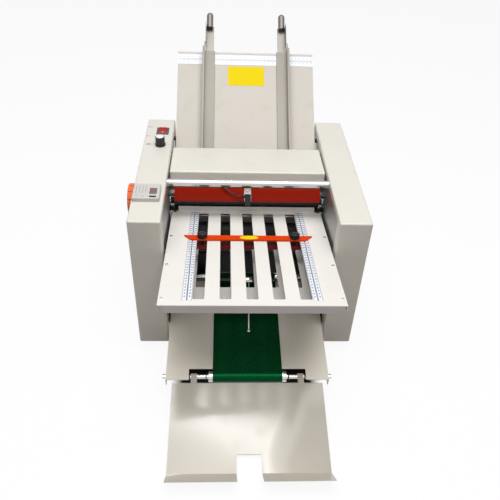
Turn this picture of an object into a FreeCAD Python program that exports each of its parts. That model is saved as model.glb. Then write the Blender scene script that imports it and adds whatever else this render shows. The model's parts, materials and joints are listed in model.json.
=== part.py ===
import FreeCAD, Part
import math
import os

# Frame of the part: X across the machine, Y from the delivery side to the feed side, Z up.
# X = 0 is the middle of the paper, Y = 0 the casings' front faces, Z = 0 the casings' bottom.
# The finished solids are moved at the end, so that the origin lies under the middle of the whole.

# Turns, in degrees
quarter_turn = 90.0
half_turn = 180.0
full_turn = 360.0
# How far a cutting shape runs past the face that it cuts
overrun = 1.0
# Gap between pieces that slide past each other, and the smaller one in turning fits
slide_gap = 0.3
turning_gap = 0.05

# Casings: two shells of folded sheet, with a window in the wall beside the paper
inner_half = 179.0
casing_width = 67.5
casing_depth = 442.0
casing_height = 348.0
casing_sheet = 1.5
casing_bend = 4.0
window_front_margin = 28.0
window_back_margin = 20.0
window_top_margin = 15.0
window_bottom_margin = 30.0
outer_half = inner_half + casing_width
casing_middle = inner_half + casing_width / 2

# Side frames: thick plates that lie against the inside of the casings' inner walls
frame_thickness = 4.0
frame_margin = 4.0
frame_in = inner_half + casing_sheet
frame_out = frame_in + frame_thickness

# Rubber feet
foot_height = 20.0
foot_radius = 16.0
foot_tip_radius = 14.0
foot_inset = 40.0

# Base plate and rear cover between the casings
base_thickness = 3.0
base_front = 60.0
base_lift = 4.0
base_flange = 12.0
rear_cover_sheet = 1.5
rear_cover_inset = 12.0
rear_cover_lift = 2.0
rear_cover_gap = 22.0
rear_cover_y = casing_depth - rear_cover_inset

# Tie rods between the side frames. What belongs to the paper's path hangs from the casings' top:
# each drop is measured down from there.
tie_radius = 5.0
front_tie_y = 135.0
front_tie_drop = 178.0
rear_tie_inset = 72.0
rear_tie_z = 38.0
front_tie = (front_tie_y, casing_height - front_tie_drop)
rear_tie = (casing_depth - rear_tie_inset, rear_tie_z)

# Spur gears that turn the fold rollers together
gear_module = 2.0
gear_teeth = 19
gear_width = 10.0
gear_backlash = 0.3
gear_pressure_angle = 20.0
gear_dedendum_share = 1.25
flank_steps = 4

# Fold rollers, a gear's pitch circle apart, with a gap for the paper
roller_pitch = gear_module * gear_teeth
roller_gap = 0.3
roller_radius = (roller_pitch - roller_gap) / 2
roller_side_gap = 9.0
roller_half = inner_half - roller_side_gap
journal_radius = 7.95
first_nip_y = 221.5
first_nip_drop = 118.3
plate_angle = -8.45
second_angle = -25.0
third_angle = 36.87

# Bearing rings in the side frames
bearing_bore = journal_radius + turning_gap
bearing_radius = 14.0
bearing_proud = 2.0
bearing_in = frame_in - bearing_proud
bearing_out = frame_out + bearing_proud

# Planes of the gears and pulleys outside the side frames
plane_gap = 2.5
wheel_side_gap = 1.0
pulley_width = 8.0
pulley_flange = 1.0
pulley_rise = 2.5
gear_x = bearing_out + wheel_side_gap
gear_end = gear_x + gear_width
right_pulley_x = gear_end + plane_gap
right_pulley_end = right_pulley_x + pulley_width
near_pulley_x = bearing_out + wheel_side_gap
near_pulley_end = near_pulley_x + pulley_width
far_pulley_x = near_pulley_end + plane_gap
far_pulley_end = far_pulley_x + pulley_width
motor_pulley_radius = 12.0
drive_pulley_radius = 24.0
delivery_drive_radius = 10.0
delivery_pulley_radius = 20.0
feed_pulley_radius = 14.0

# Drive belts
belt_thickness = 2.0
belt_side_gap = 0.3

# Motor on the inside of the left side frame
motor_inset = 142.0
motor_z = 58.0
motor_radius = 26.0
motor_length = 105.0
motor_nose_radius = 11.0
motor_nose_length = 8.0
motor_shaft_radius = 4.0
motor_shaft_depth = 24.0

# Hand knob outside the left casing, on the first roller's shaft
hand_knob_radius = 38.0
hand_knob_width = 20.0
hand_knob_gap = 10.5
hand_knob_hub_radius = 15.0
hand_knob_groove = 3.0
hand_knob_grooves = 12
hand_knob_round = 3.0
shaft_hole_radius = 10.0

# Upper fold plate: a slotted sheet over a second one, in front of the first two rollers
plate_side_gap = 5.0
plate_half = inner_half - plate_side_gap
plate_length = 378.0
plate_sheet = 1.5
plate_flange = 12.0
plate_nip_gap = 25.0
channel_gap = 4.0
plate_slot_width = 22.0
plate_slot_count = 5
plate_slot_front = 20.0
plate_slot_back = 12.0
plate_lip = 12.0
plate_lip_inset = 14.0
back_sheet = 1.2
back_sheet_gap = 1.5
back_sheet_spacer = 10.0
front_bar_inset = 9.5
front_bar_height = 16.0
front_bar_depth = 12.0
front_bar_gap = 4.0

# The outermost slots, where the stop's knobs run beside the rulers
outer_slot_inset = 74.0
stop_knob_x = plate_half - outer_slot_inset
plate_slot_pitch = stop_knob_x * 2 / (plate_slot_count - 1)
ruler_inner = stop_knob_x + plate_slot_width / 2

# Screws along the plate's two edges
plate_screw_inset = 6.5
plate_screw_first = 22.0
plate_screw_count = 4
plate_screw_last = 7.5
plate_screw_head = 3.2
plate_screw_head_height = 1.4
plate_screw_radius = 1.5

# Rulers
ruler_thickness = 0.6
ruler_width = 20.0
ruler_front = 15.0
ruler_back = 5.0

# Stop bar of the upper plate with its counter bar below, and the two clamp knobs
stop_front = 234.5
stop_depth = 19.5
stop_side_inset = 51.5
stop_half = plate_half - stop_side_inset
stop_tip = 17.0
stop_thickness = 3.0
stop_tab_width = 16.0
stop_tab_thickness = 3.0
counter_bar_inset = 7.5
counter_bar_half = stop_half - counter_bar_inset
counter_bar_drop = 6.3
counter_bar_height = 7.0
stop_knob_radius = 10.5
stop_knob_height = 10.5
stop_knob_flutes = 14
stop_knob_flute = 1.3
stop_knob_gap = 0.1
stud_radius = 3.0
stop_nut_radius = 6.0
stop_nut_height = 3.7

# Pins and latches that hold the upper plate
plate_pin_radius = 4.0
plate_pin_inset = 163.0
plate_pin_place = plate_length - plate_pin_inset
plate_pin_overlap = 4.0
latch_width = 7.0
latch_overlap = 9.0
latch_depth = 9.0
latch_height = 11.2
latch_back = 1.0
latch_lift = 0.8

# Slatted sheet below the upper plate
slatted_drop = 57.0
slatted_front = 81.0
slatted_end_gap = 53.0
slatted_side_gap = 7.0
slatted_half = inner_half - slatted_side_gap
slatted_flange = 8.0
slatted_slot_front = 61.5
slatted_slot_back = 25.0
slatted_spacer_first = 95.0
slatted_spacer_last = 25.0
spacer_radius = 5.0

# Lower fold plate behind the second and third rollers
lower_side_gap = 9.0
lower_half = inner_half - lower_side_gap
lower_sheet = 1.5
lower_nip_gap = 27.0
lower_length = 330.0
lower_rail = 8.0
lower_slot_front = 13.0
lower_slot_back = 12.0
lower_spacer_first = 33.0
lower_spacer_last = 173.0
lower_stop_inset = 40.0
lower_stop_half = lower_half - lower_stop_inset
lower_stop_front = 163.0
lower_stop_depth = 16.0
lower_knob_radius = 10.0
lower_knob_height = 13.0
lower_washer_radius = 13.0
lower_washer_height = 3.0

# Feed table, which rises to the back, with an apron that leads down to the first rollers
table_angle = 38.16
table_y = 367.0
table_drop = 40.0
table_side_gap = 4.0
table_half = inner_half - table_side_gap
table_sheet = 1.5
table_front = 112.0
table_back = 268.0
table_flange = 20.0
table_flange_front = 60.0
apron_inset = 5.0
apron_half = table_half - apron_inset
apron_end_y = 244.0
apron_end_drop = 114.0
table_lip = 7.0
feed_ruler_back = 7.0
feed_ruler_width = 29.0
table_spacer_front = 40.0
table_spacer_back = 30.0
spacer_drop = 10.0

# Feed wheel under the table and the separator over it
feed_wheel_place = 95.0
feed_wheel_radius = 20.0
feed_wheel_half = 25.0
feed_wheel_poke = 1.0
feed_window_side = 7.0
feed_window_reach = 15.0
separator_half = 20.0
separator_half_depth = 8.0
separator_gap = 0.5
separator_pad = 3.0
separator_height = 41.5
separator_rod_drop = 6.0

# Side guides on the feed table: a channel with a tall outer wall and a hook over the end
guide_inner = 80.0
guide_outer = 106.0
guide_sheet = 1.5
guide_channel = 2.5
guide_height = 28.0
guide_edge = 4.0
guide_front = 40.0
guide_end_gap = 1.0
guide_hook_depth = 13.0
guide_hook_drop = 12.0
guide_hook_reach = 19.0
guide_hook_gap = 0.8

# Pull-out extensions of the side guides
extension_width = 22.0
extension_gap = 0.4
extension_sheet = 1.5
extension_inside = 118.0
extension_reach = 71.0
extension_wall_gap = 1.0
extension_wall_height = 26.0
sleeve_radius = 8.5
sleeve_length = 44.0
sleeve_overlap = 9.0

# Hood over the first rollers, hinged at its back
hood_side_gap = 2.0
hood_half = inner_half - hood_side_gap
hood_front = 204.0
hood_back = 318.0
hood_front_drop = 8.0
hood_back_drop = 12.0
hood_skirt = 28.0
hood_sheet = 1.5
hood_bend = 4.0
hood_pin_inset = 6.0
hood_pin_drop = 10.0
hood_pin_radius = 3.0
hood_pin_overlap = 5.0

# Chrome bar across the front of the feed opening
bar_y = 163.0
bar_drop = 12.0
bar_radius = 8.5

# Red guard in front of the first rollers, through its lower and its upper edge
guard_low_y = 173.5
guard_low_drop = 68.2
guard_angle = 50.4
guard_length = 31.5
guard_side_gap = 12.0
guard_half = inner_half - guard_side_gap
guard_sheet = 1.5
guard_ear = 12.0
guard_ear_inset = 4.0
guard_hem = 5.0
guard_pin_radius = 4.0
guard_pin_drop = 6.0

# Sensor on the guard, its bracket and its cable
bracket_half = 8.0
bracket_margin = 1.0
bracket_sheet = 1.5
sensor_half = 7.0
sensor_below = 9.5
sensor_height = 26.5
sensor_depth = 11.0
cable_radius = 1.5
cable_start_up = 11.5
cable_start_out = 7.0
cable_bend_share = 0.45
cable_first_reach = 14.0
# The rest of its way to the left side frame, as (x, y, drop)
cable_way = ((-40.0, 181.0, 47.0), (-58.0, 193.0, 40.0), (-78.0, 203.0, 39.6),
             (-102.0, 209.5, 42.5), (-130.0, 213.0, 45.0), (-156.0, 214.5, 48.0))

# Delivery table in front, with its belt
delivery_angle = 6.136
delivery_y = -139.7
delivery_z = 36.1
delivery_side_gap = 4.0
delivery_half = inner_half - delivery_side_gap
delivery_length = 285.0
delivery_sheet = 1.5
delivery_flange = 20.0
delivery_notch_inset = 49.0
delivery_notch_half = delivery_half - delivery_notch_inset
delivery_notch = 27.4
delivery_spacer_front = 190.0
delivery_spacer_back = 25.0
delivery_spacer_radius = 6.0
belt_roller_radius = 12.0
belt_roller_inset = 91.0
belt_roller_half = delivery_half - belt_roller_inset
front_roller_place = 15.4
rear_roller_gap = 20.0
front_shaft_radius = 5.0
front_shaft_proud = 8.0
delivery_belt_inset = 9.0
delivery_belt_half = belt_roller_half - delivery_belt_inset
delivery_belt_thickness = 1.5

# Receiving tray, hung on the front belt roller's shaft
tray_inset = 13.5
tray_half = delivery_half - tray_inset
tray_back_y = -141.2
tray_back_z = 26.9
tray_fold_y = -324.7
tray_fold_z = -18.0
tray_sheet = 1.5
tray_lip_run = 35.8
tray_notch_half = 25.0
tray_notch_depth = 36.0
tray_hook_inset = 46.5
tray_hook_x = tray_half - tray_hook_inset
tray_hook_width = 13.0
tray_hook_gap = 0.1
tray_hook_start = 105.0
tray_hook_end = -30.0

# Press rod with its ball over the belt
press_pivot_y = 70.0
press_pivot_drop = 214.5
press_pivot_radius = 4.0
press_hub_radius = 8.0
press_hub_width = 14.0
press_x = 5.0
press_rod_radius = 1.6
press_ball_radius = 4.2
press_ball_y = -16.1
press_ball_gap = 0.3
press_collar_width = 7.0
press_collar_gap = 0.3

# Rocker switch on the left casing's top
switch_reach = 26.4
switch_x = -inner_half - switch_reach
switch_inset = 65.5
switch_y = casing_depth - switch_inset
switch_half_x = 15.0
switch_half_y = 16.5
switch_rim = 2.0
switch_opening_half_x = 10.5
switch_opening_half_y = 13.5
switch_body_wall = 2.5
switch_body_depth = 18.0
rocker_side_gap = 0.5
rocker_axle_radius = 1.5
rocker_rise = 1.8
rocker_depth = 5.0
rocker_taper = 2.0
rocker_axis_drop = 1.0
rocker_tilt = 7.0

# Speed knob beside the switch
speed_reach = 26.5
speed_x = -inner_half - speed_reach
speed_inset = 134.5
speed_y = casing_depth - speed_inset
speed_skirt_radius = 12.5
speed_skirt_height = 4.0
speed_knob_radius = 11.0
speed_knob_height = 22.0
speed_cap_radius = 7.5
speed_cap_height = 0.8
speed_flutes = 18
speed_flute = 0.9
speed_shaft_radius = 3.0
speed_shaft_depth = 12.0

# Counter on the left casing's top
counter_reach = 36.5
counter_x = -inner_half - counter_reach
counter_y = 97.0
counter_half_x = 28.5
counter_half_y = 28.0
counter_height = 10.0
counter_wall = 2.0
counter_round = 3.0
counter_window_reach = 14.2
counter_window_x = counter_x + counter_window_reach
counter_window_y = 95.5
counter_window_half_x = 7.8
counter_window_half_y = 11.5
counter_window_sink = 1.0
key_reach = 14.5
key_x = counter_x + key_reach
key_y = 74.6
key_half_x = 7.0
key_half_y = 2.0
key_gap = 0.2
key_rise = 1.2
key_depth = 5.0

# Mains inlet at the back of the left casing
inlet_z = 70.0
inlet_flange_half_x = 24.0
inlet_flange_half_z = 13.5
inlet_flange_sheet = 2.0
inlet_body_half_x = 14.0
inlet_body_half_z = 10.5
inlet_body_depth = 20.0
inlet_cavity_half_x = 12.0
inlet_cavity_half_z = 8.5
inlet_cavity_depth = 16.0
inlet_pin_half_x = 1.0
inlet_pin_half_z = 2.0
inlet_pin_length = 9.0
inlet_pin_pitch = 7.0
inlet_earth_rise = 3.0


def vec(x, y, z):
    return FreeCAD.Vector(x, y, z)


def box(x0, x1, y0, y1, z0, z1):
    return Part.makeBox(x1 - x0, y1 - y0, z1 - z0, vec(x0, y0, z0))


def rounded_box(x0, x1, y0, y1, z0, z1, radius):
    block = box(x0, x1, y0, y1, z0, z1)
    return block.makeFillet(radius, block.Edges)


def rod_x(x0, x1, place, radius):
    """A round bar along X, whose middle passes through place, a (y, z) pair."""
    return Part.makeCylinder(radius, x1 - x0, vec(x0, place[0], place[1]), vec(1, 0, 0))


def rod_z(x, y, z0, z1, radius):
    return Part.makeCylinder(radius, z1 - z0, vec(x, y, z0), vec(0, 0, 1))


def prism_x(outline, x0, x1):
    """A closed outline of (y, z) points, drawn out along X."""
    corners = [vec(x0, y, z) for y, z in outline]
    face = Part.Face(Part.makePolygon(corners + corners[:1]))
    return face.extrude(vec(x1 - x0, 0, 0))


def prism_z(outline, z0, z1):
    """A closed outline of (x, y) points, drawn out along Z."""
    corners = [vec(x, y, z0) for x, y in outline]
    face = Part.Face(Part.makePolygon(corners + corners[:1]))
    return face.extrude(vec(0, 0, z1 - z0))


def joined(shapes):
    """One solid from pieces that share faces or cross."""
    whole = shapes[0]
    for shape in shapes[1:]:
        whole = whole.fuse(shape)
    return whole.removeSplitter()


def group(shapes):
    return Part.makeCompound(shapes)


def mirrored(shape):
    return shape.mirror(vec(0, 0, 0), vec(1, 0, 0))


def both_sides(shape):
    return [shape, mirrored(shape)]


def fluted_knob(x, y, z0, z1, radius, count, flute):
    """An upright knob with round flutes cut into its side."""
    body = rod_z(x, y, z0, z1, radius)
    top = [edge for edge in body.Edges if edge.BoundBox.ZMin > (z0 + z1) / 2]
    body = body.makeFillet(flute / 2, top)
    flutes = []
    for i in range(count):
        angle = 2 * math.pi * i / count
        flutes.append(rod_z(x + radius * math.cos(angle), y + radius * math.sin(angle), z0, z1, flute))
    return body.cut(flutes)


class Slope:
    """A plane that rises or falls with Y. Flat shapes drawn in it have Y along it and Z off it."""

    def __init__(self, place, degrees):
        self.place = place
        self.degrees = degrees
        self.along = (math.cos(math.radians(degrees)), math.sin(math.radians(degrees)))

    def at(self, t, n):
        """The (y, z) place that lies t along the plane and n off it."""
        y = self.place[0] + t * self.along[0] - n * self.along[1]
        z = self.place[1] + t * self.along[1] + n * self.along[0]
        return (y, z)

    def height(self, y):
        """The plane's height over the Y place y."""
        return self.place[1] + (y - self.place[0]) * self.along[1] / self.along[0]

    def put(self, shape):
        """Turns a shape that was drawn flat into the plane."""
        turn = FreeCAD.Rotation(vec(1, 0, 0), self.degrees)
        return shape.transformed(FreeCAD.Placement(vec(0, *self.place), turn).toMatrix())


def step_from(place, distance, degrees):
    """The (y, z) place at a distance from another one, in a direction measured from the Y axis."""
    angle = math.radians(degrees)
    return (place[0] + distance * math.cos(angle), place[1] + distance * math.sin(angle))


# Places of the rollers. Each nip's paper path is square to the line between its two rollers.
first_nip = (first_nip_y, casing_height - first_nip_drop)
roller_1 = step_from(first_nip, roller_pitch / 2, plate_angle + quarter_turn)
roller_2 = step_from(first_nip, roller_pitch / 2, plate_angle - quarter_turn)
second_nip = step_from(roller_2, roller_pitch / 2, second_angle - quarter_turn)
roller_3 = step_from(roller_2, roller_pitch, second_angle - quarter_turn)
roller_4 = step_from(roller_3, roller_pitch, third_angle - quarter_turn)

# The upper plate's plane has its zero at the plate's front edge, on its upper face
plate_front = step_from(first_nip, plate_length + plate_nip_gap, plate_angle + half_turn)
upper_plate = Slope(step_from(plate_front, plate_sheet + channel_gap / 2, plate_angle + quarter_turn),
                    plate_angle)
# The lower plate's plane has its zero at the plate's first edge, in the middle of the channel
lower_plate = Slope(step_from(second_nip, lower_nip_gap, second_angle), second_angle)
lower_top = channel_gap / 2 + lower_sheet
rear_cover_top = lower_plate.height(rear_cover_y) - lower_top - rear_cover_gap
slatted_back = plate_length - slatted_end_gap
feed_table = Slope((table_y, casing_height - table_drop), table_angle)
feed_axis = feed_table.at(-feed_wheel_place, feed_wheel_poke - feed_wheel_radius)
guard_plane = Slope((guard_low_y, casing_height - guard_low_drop), guard_angle)
hood_front_top = casing_height - hood_front_drop
hood_back_top = casing_height - hood_back_drop
hood_axis = (hood_back - hood_pin_inset, hood_back_top - hood_pin_drop)
separator_low = feed_wheel_poke + separator_gap
separator_rod = feed_table.at(-feed_wheel_place, separator_low + separator_pad + separator_height
                              - separator_rod_drop)

# The belt's inner face runs just above the delivery table
delivery_plane = Slope((delivery_y, delivery_z), delivery_angle)
belt_inner_radius = belt_roller_radius + turning_gap
belt_axis_drop = belt_inner_radius - slide_gap
front_axis = delivery_plane.at(front_roller_place, -belt_axis_drop)
rear_axis = delivery_plane.at(delivery_length + rear_roller_gap, -belt_axis_drop)
belt_top = slide_gap + delivery_belt_thickness
motor_axis = (casing_depth - motor_inset, motor_z)
press_pivot = (press_pivot_y, casing_height - press_pivot_drop)
bearing_places = [roller_1, roller_2, roller_3, roller_4, feed_axis, rear_axis]
rocker_axis = (switch_y, casing_height - rocker_axis_drop)
plate_pin = upper_plate.at(plate_pin_place, -plate_flange - slide_gap - plate_pin_radius)
hand_knob_x = -outer_half - hand_knob_gap - hand_knob_width


def side_frame(side):
    """One thick plate with a hole for each bearing, and on the left one for the motor's nose."""
    plate = box(frame_in, frame_out, frame_margin, casing_depth - frame_margin,
                frame_margin, casing_height - frame_margin)
    holes = [rod_x(frame_in - overrun, frame_out + overrun, place, bearing_radius)
             for place in bearing_places]
    if side < 0:
        nose = motor_nose_radius
        holes.append(rod_x(frame_in - overrun, frame_out + overrun, motor_axis, nose))
    plate = plate.cut(holes)
    return plate if side > 0 else mirrored(plate)


def casing(side):
    """One closed shell with a large window beside the paper."""
    outer = rounded_box(inner_half, outer_half, 0, casing_depth, 0, casing_height, casing_bend)
    cavity = rounded_box(inner_half + casing_sheet, outer_half - casing_sheet,
                         casing_sheet, casing_depth - casing_sheet,
                         casing_sheet, casing_height - casing_sheet, casing_bend - casing_sheet)
    window = box(inner_half - overrun, frame_in + overrun,
                 window_front_margin, casing_depth - window_back_margin,
                 window_bottom_margin, casing_height - window_top_margin)
    shell = outer.cut([cavity, window])
    return shell if side > 0 else mirrored(shell)


def left_casing():
    """The left shell also has the holes for the controls, the inlet and the first roller's shaft."""
    lid_low = casing_height - casing_sheet - overrun
    lid_high = casing_height + overrun
    body_x = switch_opening_half_x + switch_body_wall
    body_y = switch_opening_half_y + switch_body_wall - switch_rim / 2
    switch_hole = box(switch_x - body_x, switch_x + body_x, switch_y - body_y, switch_y + body_y,
                      lid_low, lid_high)
    speed_hole = rod_z(speed_x, speed_y, lid_low, lid_high, speed_shaft_radius + turning_gap)
    inlet_hole = box(-casing_middle - inlet_body_half_x, -casing_middle + inlet_body_half_x,
                     casing_depth - casing_sheet - overrun, casing_depth + overrun,
                     inlet_z - inlet_body_half_z, inlet_z + inlet_body_half_z)
    shaft_hole = rod_x(-outer_half - overrun, -outer_half + casing_sheet + overrun,
                       roller_1, shaft_hole_radius)
    return casing(-1).cut([switch_hole, speed_hole, inlet_hole, shaft_hole])


def rubber_feet():
    feet = []
    for x in (-casing_middle, casing_middle):
        for y in (foot_inset, casing_depth - foot_inset):
            feet.append(Part.makeCone(foot_tip_radius, foot_radius, foot_height, vec(x, y, -foot_height)))
    return group(feet)


def base_plate():
    floor = box(-inner_half, inner_half, base_front, rear_cover_y, base_lift, base_lift + base_thickness)
    edge = box(inner_half - base_thickness, inner_half, base_front, rear_cover_y,
               base_lift, base_lift + base_thickness + base_flange)
    return joined([floor] + both_sides(edge))


def rear_cover():
    return box(-inner_half, inner_half, rear_cover_y, rear_cover_y + rear_cover_sheet,
               rear_cover_lift, rear_cover_top)


def tie_rods():
    """Bars between the side frames: two plain ones, the separator's and the press rod's pivot."""
    rods = [rod_x(-frame_in, frame_in, place, tie_radius)
            for place in (front_tie, rear_tie, separator_rod)]
    pivot = rod_x(-frame_in, frame_in, press_pivot, press_pivot_radius)
    reach = press_hub_width / 2 + press_collar_gap
    collars = []
    for x in (press_x - reach - press_collar_width, press_x + reach):
        ring = rod_x(x, x + press_collar_width, press_pivot, press_hub_radius)
        collars.append(ring.cut(rod_x(x - overrun, x + press_collar_width + overrun, press_pivot,
                                      press_pivot_radius)))
    return group(rods + [pivot] + collars)


def frame_bolts():
    """Pins and spacers that carry the sheets between the side frames, on both sides."""
    carried = []
    for t in (-table_spacer_front, table_spacer_back):
        carried.append((table_half, feed_table.at(t, -spacer_drop), spacer_radius))
    for t in (lower_spacer_first, lower_spacer_last):
        carried.append((lower_half, lower_plate.at(t, 0), spacer_radius))
    slatted_middle = -slatted_drop - slatted_flange / 2
    for t in (slatted_back - slatted_spacer_first, slatted_back - slatted_spacer_last):
        carried.append((slatted_half, upper_plate.at(t, slatted_middle), spacer_radius))
    for t in (delivery_spacer_front, delivery_length - delivery_spacer_back):
        carried.append((delivery_half, delivery_plane.at(t, -spacer_drop), delivery_spacer_radius))
    carried.append((guard_half, guard_plane.at(guard_length / 2, -guard_pin_drop), guard_pin_radius))
    carried.append((plate_half - plate_pin_overlap, plate_pin, plate_pin_radius))
    carried.append((hood_half - hood_pin_overlap, hood_axis, hood_pin_radius))
    pins = []
    for start, place, radius in carried:
        pins.extend(both_sides(rod_x(start, frame_in, place, radius)))
    return group(pins)


def roller_bearings():
    rings = []
    for place in bearing_places:
        ring = rod_x(bearing_in, bearing_out, place, bearing_radius)
        ring = ring.cut(rod_x(bearing_in - overrun, bearing_out + overrun, place, bearing_bore))
        rings.extend(both_sides(ring))
    return group(rings)


def roller(place, radius, half, left_end, right_end):
    """A roller with its two journals in one piece."""
    return joined([rod_x(-half, half, place, radius), rod_x(left_end, right_end, place, journal_radius)])


def gear_outline():
    """One gear's outline with involute flanks, its first tooth along the Y axis."""
    pressure = math.radians(gear_pressure_angle)
    pitch_radius = roller_pitch / 2
    base_radius = pitch_radius * math.cos(pressure)
    tip_radius = pitch_radius + gear_module
    root_radius = pitch_radius - gear_dedendum_share * gear_module
    half_pitch_angle = (math.pi * gear_module / 2 - gear_backlash) / 2 / pitch_radius
    flank = [(root_radius, half_pitch_angle + math.tan(pressure) - pressure)]
    for i in range(flank_steps + 1):
        radius = base_radius + (tip_radius - base_radius) * i / flank_steps
        roll = math.acos(base_radius / radius)
        angle = half_pitch_angle + math.tan(pressure) - pressure - math.tan(roll) + roll
        flank.append((radius, angle))
    outline = []
    for tooth in range(gear_teeth):
        middle = 2 * math.pi * tooth / gear_teeth
        outline += [(radius, middle - angle) for radius, angle in flank]
        outline += [(radius, middle + angle) for radius, angle in reversed(flank)]
    return [(radius * math.cos(angle), radius * math.sin(angle)) for radius, angle in outline]


def gear(place, phase):
    wheel = prism_x(gear_outline(), gear_x, gear_end)
    wheel = wheel.cut(rod_x(gear_x - overrun, gear_end + overrun, (0, 0), journal_radius))
    turn = FreeCAD.Placement(vec(0, *place), FreeCAD.Rotation(vec(1, 0, 0), phase))
    return wheel.transformed(turn.toMatrix())


def next_phase(place, phase, neighbour):
    """The turn, in degrees, that sets a tooth of the neighbour's gear in this gear's gap."""
    line = math.degrees(math.atan2(neighbour[1] - place[1], neighbour[0] - place[0]))
    half_tooth = half_turn / gear_teeth
    return 2 * line + half_turn - phase - half_tooth


def pulley(x0, x1, place, radius, bore):
    """A flat pulley with a low flange at each face."""
    wheel = [rod_x(x0, x1, place, radius)]
    for x in (x0, x1 - pulley_flange):
        wheel.append(rod_x(x, x + pulley_flange, place, radius + pulley_rise))
    return joined(wheel).cut(rod_x(x0 - overrun, x1 + overrun, place, bore))


def stretched_outline(place_a, radius_a, place_b, radius_b, x):
    """A face round two circles and between their outer tangents, in the plane at x."""
    run = (place_b[0] - place_a[0], place_b[1] - place_a[1])
    line = math.degrees(math.atan2(run[1], run[0]))
    spread = math.degrees(math.acos((radius_a - radius_b) / math.hypot(*run)))
    a_up, a_far, a_down = [vec(x, *step_from(place_a, radius_a, angle))
                           for angle in (line + spread, line + half_turn, line - spread)]
    b_up, b_far, b_down = [vec(x, *step_from(place_b, radius_b, angle))
                           for angle in (line + spread, line, line - spread)]
    edges = [Part.LineSegment(a_up, b_up).toShape(), Part.Arc(b_up, b_far, b_down).toShape(),
             Part.LineSegment(b_down, a_down).toShape(), Part.Arc(a_down, a_far, a_up).toShape()]
    return Part.Face(Part.Wire(edges))


def loop_belt(place_a, radius_a, place_b, radius_b, thickness, x0, x1):
    outside = stretched_outline(place_a, radius_a + thickness, place_b, radius_b + thickness, x0)
    inside = stretched_outline(place_a, radius_a, place_b, radius_b, x0)
    return outside.extrude(vec(x1 - x0, 0, 0)).cut(inside.extrude(vec(x1 - x0, 0, 0)))


def drive_belts():
    """Motor to second roller, fourth roller to delivery roller, second roller to feed shaft."""
    inset = pulley_flange + belt_side_gap
    runs = [(motor_axis, motor_pulley_radius, roller_2, drive_pulley_radius, -far_pulley_end),
            (roller_4, delivery_drive_radius, rear_axis, delivery_pulley_radius, -near_pulley_end),
            (roller_2, feed_pulley_radius, feed_axis, feed_pulley_radius, right_pulley_x)]
    return group([loop_belt(a, radius_a + turning_gap, b, radius_b + turning_gap, belt_thickness,
                            x + inset, x + pulley_width - inset)
                  for a, radius_a, b, radius_b, x in runs])


def motor():
    """A round motor with a nose through the side frame and a bore for its shaft."""
    body = rod_x(-frame_in, -frame_in + motor_length, motor_axis, motor_radius)
    rims = [edge for edge in body.Edges if edge.BoundBox.XMin > -frame_in + motor_length / 2]
    body = body.makeFillet(motor_shaft_radius, rims)
    nose = rod_x(-frame_in - motor_nose_length, -frame_in, motor_axis, motor_nose_radius)
    bore = rod_x(-frame_in - motor_nose_length - overrun, -frame_in + motor_shaft_depth, motor_axis,
                 motor_shaft_radius + turning_gap)
    return joined([body, nose]).cut(bore)


def motor_pulley():
    wheel = pulley(-far_pulley_end, -far_pulley_x, motor_axis, motor_pulley_radius, motor_shaft_radius)
    shaft = rod_x(-far_pulley_end, -frame_in + motor_shaft_depth - slide_gap, motor_axis,
                  motor_shaft_radius)
    return group([wheel, shaft])


def hand_knob():
    """A broad knob with grooves round its rim and a hub on the shaft."""
    wheel = rod_x(hand_knob_x, hand_knob_x + hand_knob_width, roller_1, hand_knob_radius)
    wheel = wheel.makeFillet(hand_knob_round, wheel.Edges)
    hub_end = -outer_half - slide_gap * 2
    hub = rod_x(hand_knob_x + hand_knob_width, hub_end, roller_1, hand_knob_hub_radius)
    grooves = []
    for i in range(hand_knob_grooves):
        place = step_from(roller_1, hand_knob_radius, full_turn * i / hand_knob_grooves)
        grooves.append(rod_x(hand_knob_x - overrun, hand_knob_x + hand_knob_width + overrun, place,
                             hand_knob_groove))
    bore = rod_x(hand_knob_x - overrun, hub_end + overrun, roller_1, journal_radius)
    return joined([wheel, hub]).cut(grooves + [bore])


def slot_row(front, back, low, high):
    """The long slots of a fold plate, drawn flat."""
    slots = []
    for i in range(plate_slot_count):
        x = (i - (plate_slot_count - 1) / 2) * plate_slot_pitch
        half = plate_slot_width / 2
        slot = box(x - half, x + half, front, back, low, high)
        uprights = [edge for edge in slot.Edges if edge.BoundBox.ZLength > (high - low) / 2]
        slots.append(slot.makeFillet(plate_screw_head, uprights))
    return slots


def screw_places():
    last = plate_length - plate_screw_last
    pitch = (last - plate_screw_first) / (plate_screw_count - 1)
    places = [plate_screw_first + pitch * i for i in range(plate_screw_count)]
    x = plate_half - plate_screw_inset
    return [(side * x, t) for side in (-1, 1) for t in places]


def screw_holes(low, high):
    return [rod_z(x, t, low, high, plate_screw_radius) for x, t in screw_places()]


def fold_plate_sheet():
    """The upper sheet with flanges down at its sides and a lip up at its back."""
    sheet = box(-plate_half, plate_half, 0, plate_length, -plate_sheet, 0)
    flange = box(plate_half - plate_sheet, plate_half, 0, plate_length, -plate_flange, 0)
    lip_half = plate_half - plate_lip_inset
    lip = box(-lip_half, lip_half, plate_length - plate_sheet, plate_length, -plate_sheet, plate_lip)
    slots = slot_row(plate_slot_front, plate_length - plate_slot_back, -plate_sheet - overrun, overrun)
    sheet = joined([sheet, lip] + both_sides(flange)).cut(slots + screw_holes(-plate_flange, overrun))
    return upper_plate.put(sheet)


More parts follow.
